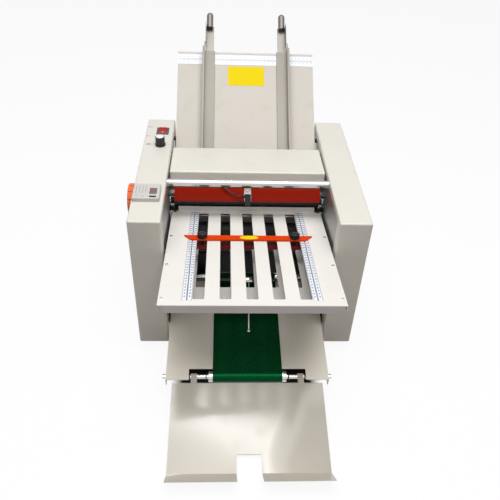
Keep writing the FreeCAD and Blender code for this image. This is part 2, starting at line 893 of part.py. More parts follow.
def fold_plate_back_sheet():
    """The lower sheet, held off the upper one by a spacer strip at each side."""
    half = plate_half - plate_sheet - back_sheet_gap
    front = front_bar_depth + front_bar_gap
    top = -plate_sheet - channel_gap
    sheet = box(-half, half, front, plate_length, top - back_sheet, top)
    strip = box(half - back_sheet_spacer, half, front, plate_length, top, -plate_sheet)
    slots = slot_row(plate_slot_front, plate_length - plate_slot_back, top - back_sheet - overrun,
                     top + overrun)
    whole = joined([sheet] + both_sides(strip))
    return upper_plate.put(whole.cut(slots + screw_holes(-plate_flange, overrun)))


def fold_plate_front_bar():
    half = plate_half - front_bar_inset
    bar = box(-half, half, 0, front_bar_depth, -plate_sheet - front_bar_height, -plate_sheet)
    return upper_plate.put(bar)


def plate_screws():
    low = -plate_sheet - channel_gap - back_sheet
    screws = []
    for x, t in screw_places():
        head = rod_z(x, t, 0, plate_screw_head_height, plate_screw_head)
        rim = [edge for edge in head.Edges if edge.BoundBox.ZMin > plate_screw_head_height / 2]
        head = head.makeFillet(plate_screw_head_height / 2, rim)
        screws.append(upper_plate.put(joined([head, rod_z(x, t, low, 0, plate_screw_radius)])))
    return group(screws)


def rulers():
    """One ruler on each side of the upper plate and one across the feed table."""
    strip = box(ruler_inner, ruler_inner + ruler_width, ruler_front, plate_length - ruler_back,
                0, ruler_thickness)
    back = table_back - feed_ruler_back
    across = box(-table_half, table_half, back - feed_ruler_width, back, 0, ruler_thickness)
    plate_strips = [upper_plate.put(shape) for shape in both_sides(strip)]
    return group(plate_strips + [feed_table.put(across)])


stop_low = ruler_thickness + slide_gap
stop_high = stop_low + stop_thickness
stop_middle = stop_front + stop_depth / 2
counter_bar_high = -plate_sheet - channel_gap - back_sheet - counter_bar_drop
counter_bar_low = counter_bar_high - counter_bar_height


def stop_tabs(count_share, low, high, middle):
    """Tabs that reach down through the slots, drawn flat."""
    tabs = []
    for i in range(plate_slot_count):
        x = (i - (plate_slot_count - 1) / 2) * plate_slot_pitch
        half = stop_tab_width / 2
        shift = stop_tab_thickness * count_share
        tabs.append(box(x - half, x + half, middle + shift, middle + shift + stop_tab_thickness,
                        low, high))
    return tabs


def stop_bar():
    """A bar over the plate with pointed ends, and a counter bar under the plate."""
    back = stop_front + stop_depth
    tip = stop_half + stop_tip
    outline = [(-stop_half, stop_front), (stop_half, stop_front), (tip, back), (-tip, back)]
    studs = both_sides(rod_z(stop_knob_x, stop_middle, counter_bar_low - overrun, stop_high + overrun,
                             stud_radius + turning_gap))
    bar = prism_z(outline, stop_low, stop_high)
    tab_low = -plate_sheet - channel_gap - back_sheet / 2
    tab_place_share = 1.4
    bar = joined([bar] + stop_tabs(tab_place_share, tab_low, stop_low, stop_middle)).cut(studs)
    counter = box(-counter_bar_half, counter_bar_half, stop_front, back, counter_bar_low,
                  counter_bar_high).cut(studs)
    return group([upper_plate.put(bar), upper_plate.put(counter)])


def stop_knob(side):
    """A clamp knob over the bar, its stud through both bars, and its nut below."""
    x = side * stop_knob_x
    low = stop_high + stop_knob_gap
    head = fluted_knob(x, stop_middle, low, low + stop_knob_height, stop_knob_radius,
                       stop_knob_flutes, stop_knob_flute)
    nut_high = counter_bar_low - slide_gap
    stud = rod_z(x, stop_middle, nut_high, low, stud_radius)
    nut = rod_z(x, stop_middle, nut_high - stop_nut_height, nut_high, stop_nut_radius)
    return upper_plate.put(joined([head, stud, nut]))


def plate_latches():
    """A black catch over each rear corner of the plate, on an arm from the side frame."""
    latches = []
    back = upper_plate.at(plate_length, 0)
    low = upper_plate.at(plate_length - latch_depth, 0)[1] + latch_lift
    inner = plate_half - latch_overlap
    y0 = back[0] - latch_depth / 2
    catch = box(inner, inner + latch_width, y0, y0 + latch_depth, low, low + latch_height)
    arm = box(inner + latch_width, frame_in, y0 + latch_back, y0 + latch_depth - latch_back,
              low + latch_back, low + latch_height - latch_back)
    for shape in both_sides(joined([catch, arm])):
        latches.append(shape)
    return group(latches)


def lower_slatted_sheet():
    """A slotted sheet parallel to the upper plate, with its sides folded down."""
    sheet = box(-slatted_half, slatted_half, slatted_front, slatted_back,
                -slatted_drop - plate_sheet, -slatted_drop)
    flange = box(slatted_half - plate_sheet, slatted_half, slatted_front, slatted_back,
                 -slatted_drop - slatted_flange, -slatted_drop)
    slots = slot_row(slatted_front + slatted_slot_front, slatted_back - slatted_slot_back,
                     -slatted_drop - plate_sheet - overrun, -slatted_drop + overrun)
    return upper_plate.put(joined([sheet] + both_sides(flange)).cut(slots))


def lower_fold_plate():
    """Two slotted sheets with rails between them at the sides and a closed far end."""
    body = box(-lower_half, lower_half, 0, lower_length, -lower_top, lower_top)
    channel = box(-lower_half + lower_rail, lower_half - lower_rail, -overrun,
                  lower_length - lower_rail, -channel_gap / 2, channel_gap / 2)
    slots = slot_row(lower_slot_front, lower_length - lower_slot_back, -lower_top - overrun,
                     lower_top + overrun)
    return lower_plate.put(body.cut([channel] + slots))


lower_stop_low = lower_top + slide_gap
lower_stop_high = lower_stop_low + stop_thickness
lower_stop_middle = lower_stop_front + lower_stop_depth / 2


def lower_stop():
    bar = box(-lower_stop_half, lower_stop_half, lower_stop_front, lower_stop_front + lower_stop_depth,
              lower_stop_low, lower_stop_high)
    tab_low = -channel_gap / 2 + slide_gap
    tab_place_share = -2.4
    tabs = stop_tabs(tab_place_share, tab_low, lower_stop_low, lower_stop_middle)
    hole = rod_z(0, lower_stop_middle, lower_stop_low - overrun, lower_stop_high + overrun,
                 stud_radius + turning_gap)
    return lower_plate.put(joined([bar] + tabs).cut(hole))


def lower_stop_knob():
    """The lower stop's clamp knob, with its stud and a broad washer below the plate."""
    low = lower_stop_high + stop_knob_gap
    head = fluted_knob(0, lower_stop_middle, low, low + lower_knob_height, lower_knob_radius,
                       stop_knob_flutes, stop_knob_flute)
    washer_high = -lower_top - slide_gap
    stud = rod_z(0, lower_stop_middle, washer_high, low, stud_radius)
    washer = rod_z(0, lower_stop_middle, washer_high - lower_washer_height, washer_high,
                   lower_washer_radius)
    return lower_plate.put(joined([head, stud, washer]))


def feed_table_sheet():
    """The sloping table with its side flanges and window, and the apron below its front bend."""
    sheet = box(-table_half, table_half, -table_front, table_back, -table_sheet, 0)
    flange = box(table_half - table_sheet, table_half, -table_flange_front, table_back,
                 -table_flange, 0)
    lip = box(-table_half, table_half, table_back - table_sheet, table_back, -table_lip, 0)
    half = feed_wheel_half + feed_window_side
    window = box(-half, half, -feed_wheel_place - feed_window_reach,
                 -feed_wheel_place + feed_window_reach, -table_sheet - overrun, overrun)
    table = feed_table.put(joined([sheet, lip] + both_sides(flange)).cut(window))
    apron_end_z = casing_height - apron_end_drop
    apron = [feed_table.at(-table_front, 0), (apron_end_y, apron_end_z),
             (apron_end_y, apron_end_z - table_sheet), feed_table.at(-table_front, -table_sheet)]
    return joined([table, prism_x(apron, -apron_half, apron_half)])


def feed_wheel():
    """A rubber-faced wheel and a pulley on one shaft."""
    shaft = rod_x(-bearing_out, right_pulley_end, feed_axis, journal_radius)
    wheel = rod_x(-feed_wheel_half, feed_wheel_half, feed_axis, feed_wheel_radius)
    wheel = wheel.cut(rod_x(-feed_wheel_half - overrun, feed_wheel_half + overrun, feed_axis,
                            journal_radius))
    driven = pulley(right_pulley_x, right_pulley_end, feed_axis, feed_pulley_radius, journal_radius)
    return group([shaft, wheel, driven])


def separator():
    """A rubber pad on a holder that hangs from a rod, just above the feed wheel."""
    front = -feed_wheel_place - separator_half_depth
    back = -feed_wheel_place + separator_half_depth
    pad_high = separator_low + separator_pad
    pad = box(-separator_half, separator_half, front, back, separator_low, pad_high)
    holder = box(-separator_half, separator_half, front, back, pad_high, pad_high + separator_height)
    uprights = [edge for edge in holder.Edges if edge.BoundBox.XLength > separator_half
                and edge.BoundBox.ZMin > pad_high + separator_height / 2]
    holder = feed_table.put(holder.makeFillet(separator_pad, uprights))
    bore = rod_x(-separator_half - overrun, separator_half + overrun, separator_rod, tie_radius)
    return group([feed_table.put(pad), holder.cut(bore)])


guide_low = ruler_thickness + slide_gap
guide_plate_low = guide_low + guide_channel
guide_end = table_back + guide_end_gap


def guide_rail(side):
    """A channel over the table, its tall outer wall, and a hook round the table's end."""
    wall_out = guide_outer + guide_sheet
    hook_end = guide_end + guide_hook_depth
    hook_low = -guide_hook_drop
    pieces = [box(guide_inner, guide_outer, -guide_front, guide_end, guide_plate_low,
                  guide_plate_low + guide_sheet),
              box(guide_inner, guide_inner + guide_sheet, -guide_front, guide_end, guide_low,
                  guide_plate_low),
              box(guide_outer, wall_out, -guide_front, guide_end, guide_low, guide_height),
              box(guide_outer, wall_out + guide_edge, -guide_front, guide_end,
                  guide_height - guide_sheet, guide_height),
              box(guide_outer, wall_out, guide_end, hook_end, hook_low, guide_height),
              box(guide_outer, wall_out, guide_end - guide_hook_reach, guide_end, hook_low,
                  -table_lip - guide_hook_gap)]
    rail = feed_table.put(joined(pieces))
    return rail if side > 0 else mirrored(rail)


extension_x = (guide_inner + guide_sheet + guide_outer) / 2
extension_low = guide_low + extension_gap


def guide_extension(side):
    """A strip that slides in the channel, with a wall along its outer part and a round sleeve."""
    half = extension_width / 2
    strip_end = guide_end + extension_reach
    strip = box(extension_x - half, extension_x + half, guide_end - extension_inside, strip_end,
                extension_low, extension_low + extension_sheet)
    wall = box(extension_x + half - extension_sheet, extension_x + half,
               guide_end + guide_hook_depth + extension_wall_gap, strip_end,
               extension_low, extension_wall_height)
    axis = extension_low + sleeve_radius
    start = strip_end - sleeve_overlap
    straight = sleeve_length - sleeve_radius
    sleeve = Part.makeCylinder(sleeve_radius, straight, vec(extension_x, start, axis), vec(0, 1, 0))
    dome = Part.makeSphere(sleeve_radius, vec(extension_x, start + straight, axis))
    piece = feed_table.put(joined([strip, wall, sleeve, dome]))
    return piece if side > 0 else mirrored(piece)


def hood():
    """A shallow cover of folded sheet, open below and behind, with a hole for each hinge pin."""
    low = hood_front_top - hood_skirt
    outline = [(hood_front, low), (hood_front, hood_front_top), (hood_back, hood_back_top),
               (hood_back, low)]
    block = prism_x(outline, -hood_half, hood_half)
    rounded = [edge for edge in block.Edges if edge.BoundBox.ZMax > low + overrun
               and edge.BoundBox.YMin < hood_back - overrun]
    block = block.makeFillet(hood_bend, rounded)
    inside_half = hood_half - hood_sheet
    inside_front = hood_front + hood_sheet
    inside = [(inside_front, low - overrun - hood_bend), (inside_front, hood_front_top - hood_sheet),
              (hood_back + overrun, hood_back_top - hood_sheet),
              (hood_back + overrun, low - overrun - hood_bend)]
    cavity = prism_x(inside, -inside_half, inside_half)
    rounded = [edge for edge in cavity.Edges if edge.BoundBox.ZMax > low + overrun
               and edge.BoundBox.YMin < hood_back]
    cavity = cavity.makeFillet(hood_bend - hood_sheet, rounded)
    holes = rod_x(-hood_half - overrun, hood_half + overrun, hood_axis, hood_pin_radius + turning_gap)
    return block.cut([cavity, holes])


def chrome_bar():
    return rod_x(-inner_half, inner_half, (bar_y, casing_height - bar_drop), bar_radius)


def red_guard():
    """A narrow sloping sheet with a hem at its lower edge and an ear at each end."""
    sheet = box(-guard_half, guard_half, 0, guard_length, -guard_sheet, 0)
    hem = box(-guard_half, guard_half, 0, guard_hem, -2 * guard_sheet, -guard_sheet)
    ear = box(guard_half - guard_sheet, guard_half, guard_ear_inset, guard_length - guard_ear_inset,
              -guard_ear, 0)
    return guard_plane.put(joined([sheet, hem] + both_sides(ear)))


def sensor_bracket():
    return guard_plane.put(box(-bracket_half, bracket_half, bracket_margin,
                               guard_length - bracket_margin, 0, bracket_sheet))


def sensor():
    low = bracket_sheet
    body = box(-sensor_half, sensor_half, -sensor_below, -sensor_below + sensor_height,
               low, low + sensor_depth)
    rounded = [edge for edge in body.Edges if edge.BoundBox.ZMin > low + sensor_depth / 2]
    return guard_plane.put(body.makeFillet(cable_radius, rounded))


def cable_route():
    """The cable's points: out of the sensor, over the guard's edge, under the hood to the left."""
    start = guard_plane.at(cable_start_up, cable_start_out)
    points = [(-sensor_half, start[0], start[1]),
              (-sensor_half - cable_first_reach, start[0], start[1])]
    points += [(x, y, casing_height - drop) for x, y, drop in cable_way]
    return points + [(-frame_in, points[-1][1], points[-1][2])]


def rounded_path(points):
    """Straight runs joined by tangent arcs, each as large as its two runs allow."""
    places = [vec(*point) for point in points]
    edges = []
    radii = []
    start = places[0]
    length = 0
    for before, corner, after in zip(places, places[1:], places[2:]):
        run_in = corner - before
        run_out = after - corner
        turn = run_in.getAngle(run_out)
        cut = cable_bend_share * min(run_in.Length, run_out.Length)
        run_in.normalize()
        run_out.normalize()
        arc_start = corner - run_in * cut
        arc_end = corner + run_out * cut
        radius = cut / math.tan(turn / 2)
        middle_line = run_out - run_in
        middle_line.normalize()
        inside = corner + middle_line * (radius / math.cos(turn / 2) - radius)
        edges.append(Part.LineSegment(start, arc_start).toShape())
        edges.append(Part.Arc(arc_start, inside, arc_end).toShape())
        length += (arc_start - start).Length + radius * turn
        radii.append(radius)
        start = arc_end
    edges.append(Part.LineSegment(start, places[-1]).toShape())
    length += (places[-1] - start).Length
    return Part.Wire(edges), radii, length


def sensor_cable():
    wire, radii, length = rounded_path(cable_route())
    run = vec(*cable_route()[1]) - vec(*cable_route()[0])
    ring = Part.Wire(Part.makeCircle(cable_radius, vec(*cable_route()[0]), run))
    tube = wire.makePipeShell([ring], True, False)
    share = tube.Volume / (math.pi * cable_radius ** 2 * length)
    print("cable radii", [round(radius, 1) for radius in radii], "length", round(length, 1),
          "volume share", round(share, 4))
    return tube


def delivery_table():
    """The bed in front, with flanges down its sides and a notch for the front belt roller."""
    sheet = box(-delivery_half, delivery_half, 0, delivery_length, -delivery_sheet, 0)
    flange = box(delivery_half - delivery_sheet, delivery_half, 0, delivery_length,
                 -delivery_flange, 0)
    notch = box(-delivery_notch_half, delivery_notch_half, -overrun, delivery_notch,
                -delivery_sheet - overrun, overrun)
    bed = delivery_plane.put(joined([sheet] + both_sides(flange)).cut(notch))
    return bed.cut(rod_x(-delivery_half - overrun, delivery_half + overrun, front_axis,
                         front_shaft_radius + turning_gap))


def delivery_belt():
    return loop_belt(front_axis, belt_inner_radius, rear_axis, belt_inner_radius,
                     delivery_belt_thickness, -delivery_belt_half, delivery_belt_half)


def front_belt_roller():
    end = delivery_half + front_shaft_proud
    return joined([rod_x(-belt_roller_half, belt_roller_half, front_axis, belt_roller_radius),
                   rod_x(-end, end, front_axis, front_shaft_radius)])


def rear_belt_roller():
    body = roller(rear_axis, belt_roller_radius, belt_roller_half, -near_pulley_end, bearing_out)
    wheel = pulley(-near_pulley_end, -near_pulley_x, rear_axis, delivery_pulley_radius, journal_radius)
    return group([body, wheel])


def tray_hook(x):
    """A strap from the tray's back edge that bends over the roller's shaft."""
    inner = front_shaft_radius + tray_hook_gap
    outer = inner + tray_sheet
    half = tray_hook_width / 2
    faces = []
    middle = (tray_hook_start + tray_hook_end) / 2
    corners = [vec(x - half, *step_from(front_axis, radius, angle))
               for radius, angle in ((outer, tray_hook_start), (outer, middle), (outer, tray_hook_end),
                                     (inner, tray_hook_end), (inner, middle), (inner, tray_hook_start))]
    edges = [Part.Arc(corners[0], corners[1], corners[2]).toShape(),
             Part.LineSegment(corners[2], corners[3]).toShape(),
             Part.Arc(corners[3], corners[4], corners[5]).toShape(),
             Part.LineSegment(corners[5], corners[0]).toShape()]
    faces.append(Part.Face(Part.Wire(edges)).extrude(vec(tray_hook_width, 0, 0)))
    top, below = tray_outline()[0], tray_outline()[-1]
    arm = [top, step_from(front_axis, outer, tray_hook_start),
           step_from(front_axis, inner, tray_hook_start), below]
    faces.append(prism_x(arm, x - half, x + half))
    return faces


def tray_outline():
    """The tray's side view: a sheet that falls to its fold and a lip that rises from it."""
    back = (tray_back_y, tray_back_z)
    fold = (tray_fold_y, tray_fold_z)
    end = (tray_fold_y - tray_lip_run, tray_fold_z + tray_lip_run)
    fall = math.atan2(fold[1] - back[1], fold[0] - back[0])
    rise = math.atan2(end[1] - fold[1], end[0] - fold[0])
    below = (back[0] - tray_sheet * math.sin(fall), back[1] + tray_sheet * math.cos(fall))
    turn = (rise - fall + math.pi) % (2 * math.pi) - math.pi
    reach = tray_sheet / math.cos(turn / 2)
    normal = fall + turn / 2 + math.pi / 2
    fold_below = (fold[0] + reach * math.cos(normal), fold[1] + reach * math.sin(normal))
    end_below = (end[0] - tray_sheet * math.sin(rise), end[1] + tray_sheet * math.cos(rise))
    return [back, fold, end, end_below, fold_below, below]


def receiving_tray():
    sheet = prism_x(tray_outline(), -tray_half, tray_half)
    lowest = tray_fold_z - tray_sheet - overrun
    notch = box(-tray_notch_half, tray_notch_half, tray_fold_y - tray_lip_run - tray_sheet - overrun,
                tray_fold_y + tray_notch_depth, lowest, tray_fold_z + tray_lip_run + overrun)
    pieces = [sheet.cut(notch)] + tray_hook(tray_hook_x) + tray_hook(-tray_hook_x)
    return joined(pieces)


press_ball_t = (press_ball_y - delivery_y) / delivery_plane.along[0]
press_ball = delivery_plane.at(press_ball_t, belt_top + press_ball_gap + press_ball_radius)


def press_rod():
    """A hub on the pivot bar, a thin rod down to the belt and a ball at its end."""
    half = press_hub_width / 2
    hub = rod_x(press_x - half, press_x + half, press_pivot, press_hub_radius)
    run = (press_ball[0] - press_pivot[0], press_ball[1] - press_pivot[1])
    rod = Part.makeCylinder(press_rod_radius, math.hypot(*run), vec(press_x, *press_pivot),
                            vec(0, *run))
    ball = Part.makeSphere(press_ball_radius, vec(press_x, *press_ball))
    bore = rod_x(press_x - half - overrun, press_x + half + overrun, press_pivot,
                 press_pivot_radius + turning_gap)
    return joined([hub, rod, ball]).cut(bore)


def switch_frame():
    """The switch's rim on the casing and its hollow body below it."""
    rim = box(switch_x - switch_half_x, switch_x + switch_half_x, switch_y - switch_half_y,
              switch_y + switch_half_y, casing_height, casing_height + switch_rim)
    top = [edge for edge in rim.Edges if edge.BoundBox.ZMin > casing_height + switch_rim / 2]
    rim = rim.makeFillet(switch_rim / 2, top)
    body_x = switch_opening_half_x + switch_body_wall
    body_y = switch_opening_half_y + switch_body_wall - switch_rim / 2
    low = casing_height - switch_body_depth
    body = box(switch_x - body_x, switch_x + body_x, switch_y - body_y, switch_y + body_y, low,
               casing_height)
    opening = box(switch_x - switch_opening_half_x, switch_x + switch_opening_half_x,
                  switch_y - switch_opening_half_y, switch_y + switch_opening_half_y,
                  low + switch_body_wall, casing_height + switch_rim + overrun)
    return joined([rim, body]).cut(opening)


def switch_rocker():
    """A rocker with a shallow hollow, tilted to one side of its axle."""
    half_x = switch_opening_half_x - rocker_side_gap
    half_y = switch_opening_half_y - rocker_side_gap
    low_half = half_y - rocker_taper
    low = -rocker_depth / 2
    high = rocker_depth / 2
    outline = [(-low_half, low), (low_half, low), (half_y, high + rocker_rise), (0, high),
               (-half_y, high + rocker_rise)]
    key = prism_x(outline, switch_x - half_x, switch_x + half_x)
    reach = switch_opening_half_x - turning_gap
    axle = rod_x(switch_x - reach, switch_x + reach, (0, 0), rocker_axle_radius)
    return Slope(rocker_axis, rocker_tilt).put(joined([key, axle]))


def speed_knob():
    """A fluted knob on a broad skirt, with a round cap and its shaft through the casing."""
    low = casing_height + slide_gap
    skirt = rod_z(speed_x, speed_y, low, low + speed_skirt_height, speed_skirt_radius)
    grip = fluted_knob(speed_x, speed_y, low, low + speed_knob_height, speed_knob_radius, speed_flutes,
                       speed_flute)
    cap = rod_z(speed_x, speed_y, low + speed_knob_height, low + speed_knob_height + speed_cap_height,
                speed_cap_radius)
    shaft = rod_z(speed_x, speed_y, casing_height - speed_shaft_depth, low, speed_shaft_radius)
    return joined([skirt, grip, cap, shaft])


def counter_case():
    """A low box on the casing, open below, with a sunk window and a slot for its key."""
    outer = rounded_box(counter_x - counter_half_x, counter_x + counter_half_x,
                        counter_y - counter_half_y, counter_y + counter_half_y,
                        casing_height - counter_height, casing_height + counter_height, counter_round)
    keep = box(counter_x - counter_half_x, counter_x + counter_half_x, counter_y - counter_half_y,
               counter_y + counter_half_y, casing_height, casing_height + counter_height)
    inside = box(counter_x - counter_half_x + counter_wall, counter_x + counter_half_x - counter_wall,
                 counter_y - counter_half_y + counter_wall, counter_y + counter_half_y - counter_wall,
                 casing_height - overrun, casing_height + counter_height - counter_wall)
    high = casing_height + counter_height + overrun
    window = box(counter_window_x - counter_window_half_x, counter_window_x + counter_window_half_x,
                 counter_window_y - counter_window_half_y, counter_window_y + counter_window_half_y,
                 casing_height + counter_height - counter_window_sink, high)
    reach_x = key_half_x + key_gap
    reach_y = key_half_y + key_gap
    slot = box(key_x - reach_x, key_x + reach_x, key_y - reach_y, key_y + reach_y,
               casing_height, high)
    return outer.common(keep).cut([inside, window, slot])


def counter_key():
    high = casing_height + counter_height + key_rise
    return box(key_x - key_half_x, key_x + key_half_x, key_y - key_half_y, key_y + key_half_y,
               high - key_rise - key_depth, high)


def power_inlet():
    """A flanged socket in the casing's back wall, with three flat pins inside."""
    flange = box(-casing_middle - inlet_flange_half_x, -casing_middle + inlet_flange_half_x,
                 casing_depth, casing_depth + inlet_flange_sheet,
                 inlet_z - inlet_flange_half_z, inlet_z + inlet_flange_half_z)
    back = casing_depth + inlet_flange_sheet
    body = box(-casing_middle - inlet_body_half_x, -casing_middle + inlet_body_half_x,
               back - inlet_body_depth, back, inlet_z - inlet_body_half_z, inlet_z + inlet_body_half_z)
    floor = back - inlet_cavity_depth
    cavity = box(-casing_middle - inlet_cavity_half_x, -casing_middle + inlet_cavity_half_x,
                 floor, back + overrun, inlet_z - inlet_cavity_half_z, inlet_z + inlet_cavity_half_z)
    pins = []
    for step in (-1, 0, 1):
        x = -casing_middle + step * inlet_pin_pitch
        z = inlet_z + (inlet_earth_rise if step == 0 else -inlet_earth_rise / 2)
        pins.append(box(x - inlet_pin_half_x, x + inlet_pin_half_x, floor - overrun,
                        floor + inlet_pin_length, z - inlet_pin_half_z, z + inlet_pin_half_z))
    return joined([joined([flange, body]).cut(cavity)] + pins)


def turning_pieces():
    """The four fold rollers with their gears and pulleys."""
    phase_2 = 0.0
    phase_1 = next_phase(roller_2, phase_2, roller_1)
    phase_3 = next_phase(roller_2, phase_2, roller_3)
    phase_4 = next_phase(roller_3, phase_3, roller_4)
    drive = pulley(-far_pulley_end, -far_pulley_x, roller_2, drive_pulley_radius, journal_radius)
    to_feed = pulley(right_pulley_x, right_pulley_end, roller_2, feed_pulley_radius, journal_radius)
    to_belt = pulley(-near_pulley_end, -near_pulley_x, roller_4, delivery_drive_radius, journal_radius)
    return {
        "fold_roller_1": roller(roller_1, roller_radius, roller_half, hand_knob_x, gear_end),
        "fold_roller_2": roller(roller_2, roller_radius, roller_half, -far_pulley_end,
                                right_pulley_end),
        "fold_roller_3": roller(roller_3, roller_radius, roller_half, -bearing_out, gear_end),
        "fold_roller_4": roller(roller_4, roller_radius, roller_half, -near_pulley_end, gear_end),
        "roller_1_gear": gear(roller_1, phase_1),
        "roller_2_drive_wheels": group([gear(roller_2, phase_2), drive, to_feed]),
        "roller_3_gear": gear(roller_3, phase_3),
        "roller_4_drive_wheels": group([gear(roller_4, phase_4), to_belt]),
    }


def machine():
    """Every sub-part under its node's name."""
    nodes = {
        "left_side_frame": side_frame(-1),
        "right_side_frame": side_frame(1),
        "left_casing": left_casing(),
        "right_casing": casing(1),
        "rubber_feet": rubber_feet(),
        "base_plate": base_plate(),
        "rear_cover": rear_cover(),
        "tie_rods": tie_rods(),
        "frame_bolts": frame_bolts(),
        "roller_bearings": roller_bearings(),
        "motor": motor(),
        "motor_pulley": motor_pulley(),
        "drive_belts": drive_belts(),
        "hand_knob": hand_knob(),
        "fold_plate_sheet": fold_plate_sheet(),
        "fold_plate_back_sheet": fold_plate_back_sheet(),
        "fold_plate_front_bar": fold_plate_front_bar(),
        "plate_screws": plate_screws(),
        "rulers": rulers(),
        "stop_bar": stop_bar(),
        "left_stop_knob": stop_knob(-1),
        "right_stop_knob": stop_knob(1),
        "plate_latches": plate_latches(),
        "lower_slatted_sheet": lower_slatted_sheet(),
        "lower_fold_plate": lower_fold_plate(),
        "lower_stop": lower_stop(),
        "lower_stop_knob": lower_stop_knob(),
        "feed_table": feed_table_sheet(),
        "feed_wheel": feed_wheel(),
        "separator": separator(),
        "left_guide_rail": guide_rail(-1),
        "right_guide_rail": guide_rail(1),
        "left_guide_extension": guide_extension(-1),
        "right_guide_extension": guide_extension(1),
        "hood": hood(),
        "chrome_bar": chrome_bar(),
        "red_guard": red_guard(),
        "sensor_bracket": sensor_bracket(),
        "sensor": sensor(),
        "sensor_cable": sensor_cable(),
        "delivery_table": delivery_table(),
        "delivery_belt": delivery_belt(),
        "front_belt_roller": front_belt_roller(),
        "rear_belt_roller": rear_belt_roller(),
        "receiving_tray": receiving_tray(),
        "press_rod": press_rod(),
        "switch_frame": switch_frame(),
        "switch_rocker": switch_rocker(),
        "speed_knob": speed_knob(),
        "counter_case": counter_case(),
        "counter_key": counter_key(),
        "power_inlet": power_inlet(),
    }
    nodes.update(turning_pieces())
    return nodes


def origin_shift(nodes):
    """The move that sets the origin under the middle of the whole machine's box."""
    whole = group(list(nodes.values())).optimalBoundingBox(False, False)
    return vec(-(whole.XMin + whole.XMax) / 2, -(whole.YMin + whole.YMax) / 2, -whole.ZMin)


nodes = machine()
shift = origin_shift(nodes)
os.makedirs("parts", exist_ok=True)
for name, shape in nodes.items():
    shape.translate(shift)
    shape.exportStep("parts/" + name + ".step")
print(len(nodes), "nodes, moved by", [round(value, 3) for value in shift])
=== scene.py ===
"""The looks of a desktop paper folder, built around its packed construction model."""

import json
import logging
import math
from collections.abc import Callable, Sequence
from dataclasses import dataclass
from enum import Enum

import bmesh
import bpy
from mathutils import Matrix, Vector


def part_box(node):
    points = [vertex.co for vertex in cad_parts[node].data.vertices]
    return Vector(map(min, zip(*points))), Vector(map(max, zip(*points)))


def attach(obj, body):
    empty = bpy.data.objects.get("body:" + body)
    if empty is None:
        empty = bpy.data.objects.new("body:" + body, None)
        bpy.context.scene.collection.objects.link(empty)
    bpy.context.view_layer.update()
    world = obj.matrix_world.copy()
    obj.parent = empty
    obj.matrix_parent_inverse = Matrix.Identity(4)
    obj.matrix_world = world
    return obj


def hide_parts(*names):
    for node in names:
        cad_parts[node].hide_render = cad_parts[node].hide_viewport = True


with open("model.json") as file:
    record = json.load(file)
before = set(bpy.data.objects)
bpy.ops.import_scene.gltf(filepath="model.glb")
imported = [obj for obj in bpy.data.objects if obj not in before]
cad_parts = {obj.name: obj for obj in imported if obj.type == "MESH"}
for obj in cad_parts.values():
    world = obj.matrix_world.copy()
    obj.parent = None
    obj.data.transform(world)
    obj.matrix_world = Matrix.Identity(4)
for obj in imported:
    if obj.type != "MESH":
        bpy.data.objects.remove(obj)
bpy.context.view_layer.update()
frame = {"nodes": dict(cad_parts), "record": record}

MM = 0.001
LEFT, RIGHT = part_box("left_casing"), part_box("right_casing")
CORNER = Vector(((LEFT[0].x + RIGHT[1].x) / 2, LEFT[0].y, LEFT[0].z))
SIDES = (-1, 1)
BACK, UP = (0, 1, 0), (0, 0, 1)
WHITE = (1.0, 1.0, 1.0, 1.0)
log = logging.getLogger("paper_folder")

Colour = tuple[float, float, float]
Place = tuple[float, float, float]
Span = tuple[float, float]


def add_object(name: str, data: bpy.types.ID) -> bpy.types.Object:
    """Makes an object and puts it in the scene.

    Args:
        name: its name.
        data: its mesh, lamp or camera.

    Returns:
        The object.
    """
    made = bpy.data.objects.new(name, data)
    bpy.context.scene.collection.objects.link(made)
    return made


def scaled(colour: Colour, factor: float) -> Colour:
    """The colour made darker or lighter, and no lighter than white."""
    return tuple(min(1.0, value * factor) for value in colour)


class Link:
    """A shader value that can be used in ordinary Python sums."""

    def __init__(self, bench: "Bench", socket: bpy.types.NodeSocket | None) -> None:
        """Keeps the node tree's bench and the socket that holds the value."""
        self.bench = bench
        self.socket = socket

    def __add__(self, other: "Link | float") -> "Link":
        """This value plus another."""
        return self.bench.maths("ADD", self, other)

    def __sub__(self, other: "Link | float") -> "Link":
        """This value minus another."""
        return self.bench.maths("SUBTRACT", self, other)

    def __rsub__(self, other: float) -> "Link":
        """A number minus this value."""
        return self.bench.maths("SUBTRACT", other, self)

    def __mul__(self, other: "Link | float") -> "Link":
        """This value times another."""
        return self.bench.maths("MULTIPLY", self, other)

    __radd__ = __add__
    __rmul__ = __mul__

    def clipped(self) -> "Link":
        """The value kept between zero and one."""
        return self.bench.node("ShaderNodeClamp", {}, {0: self})


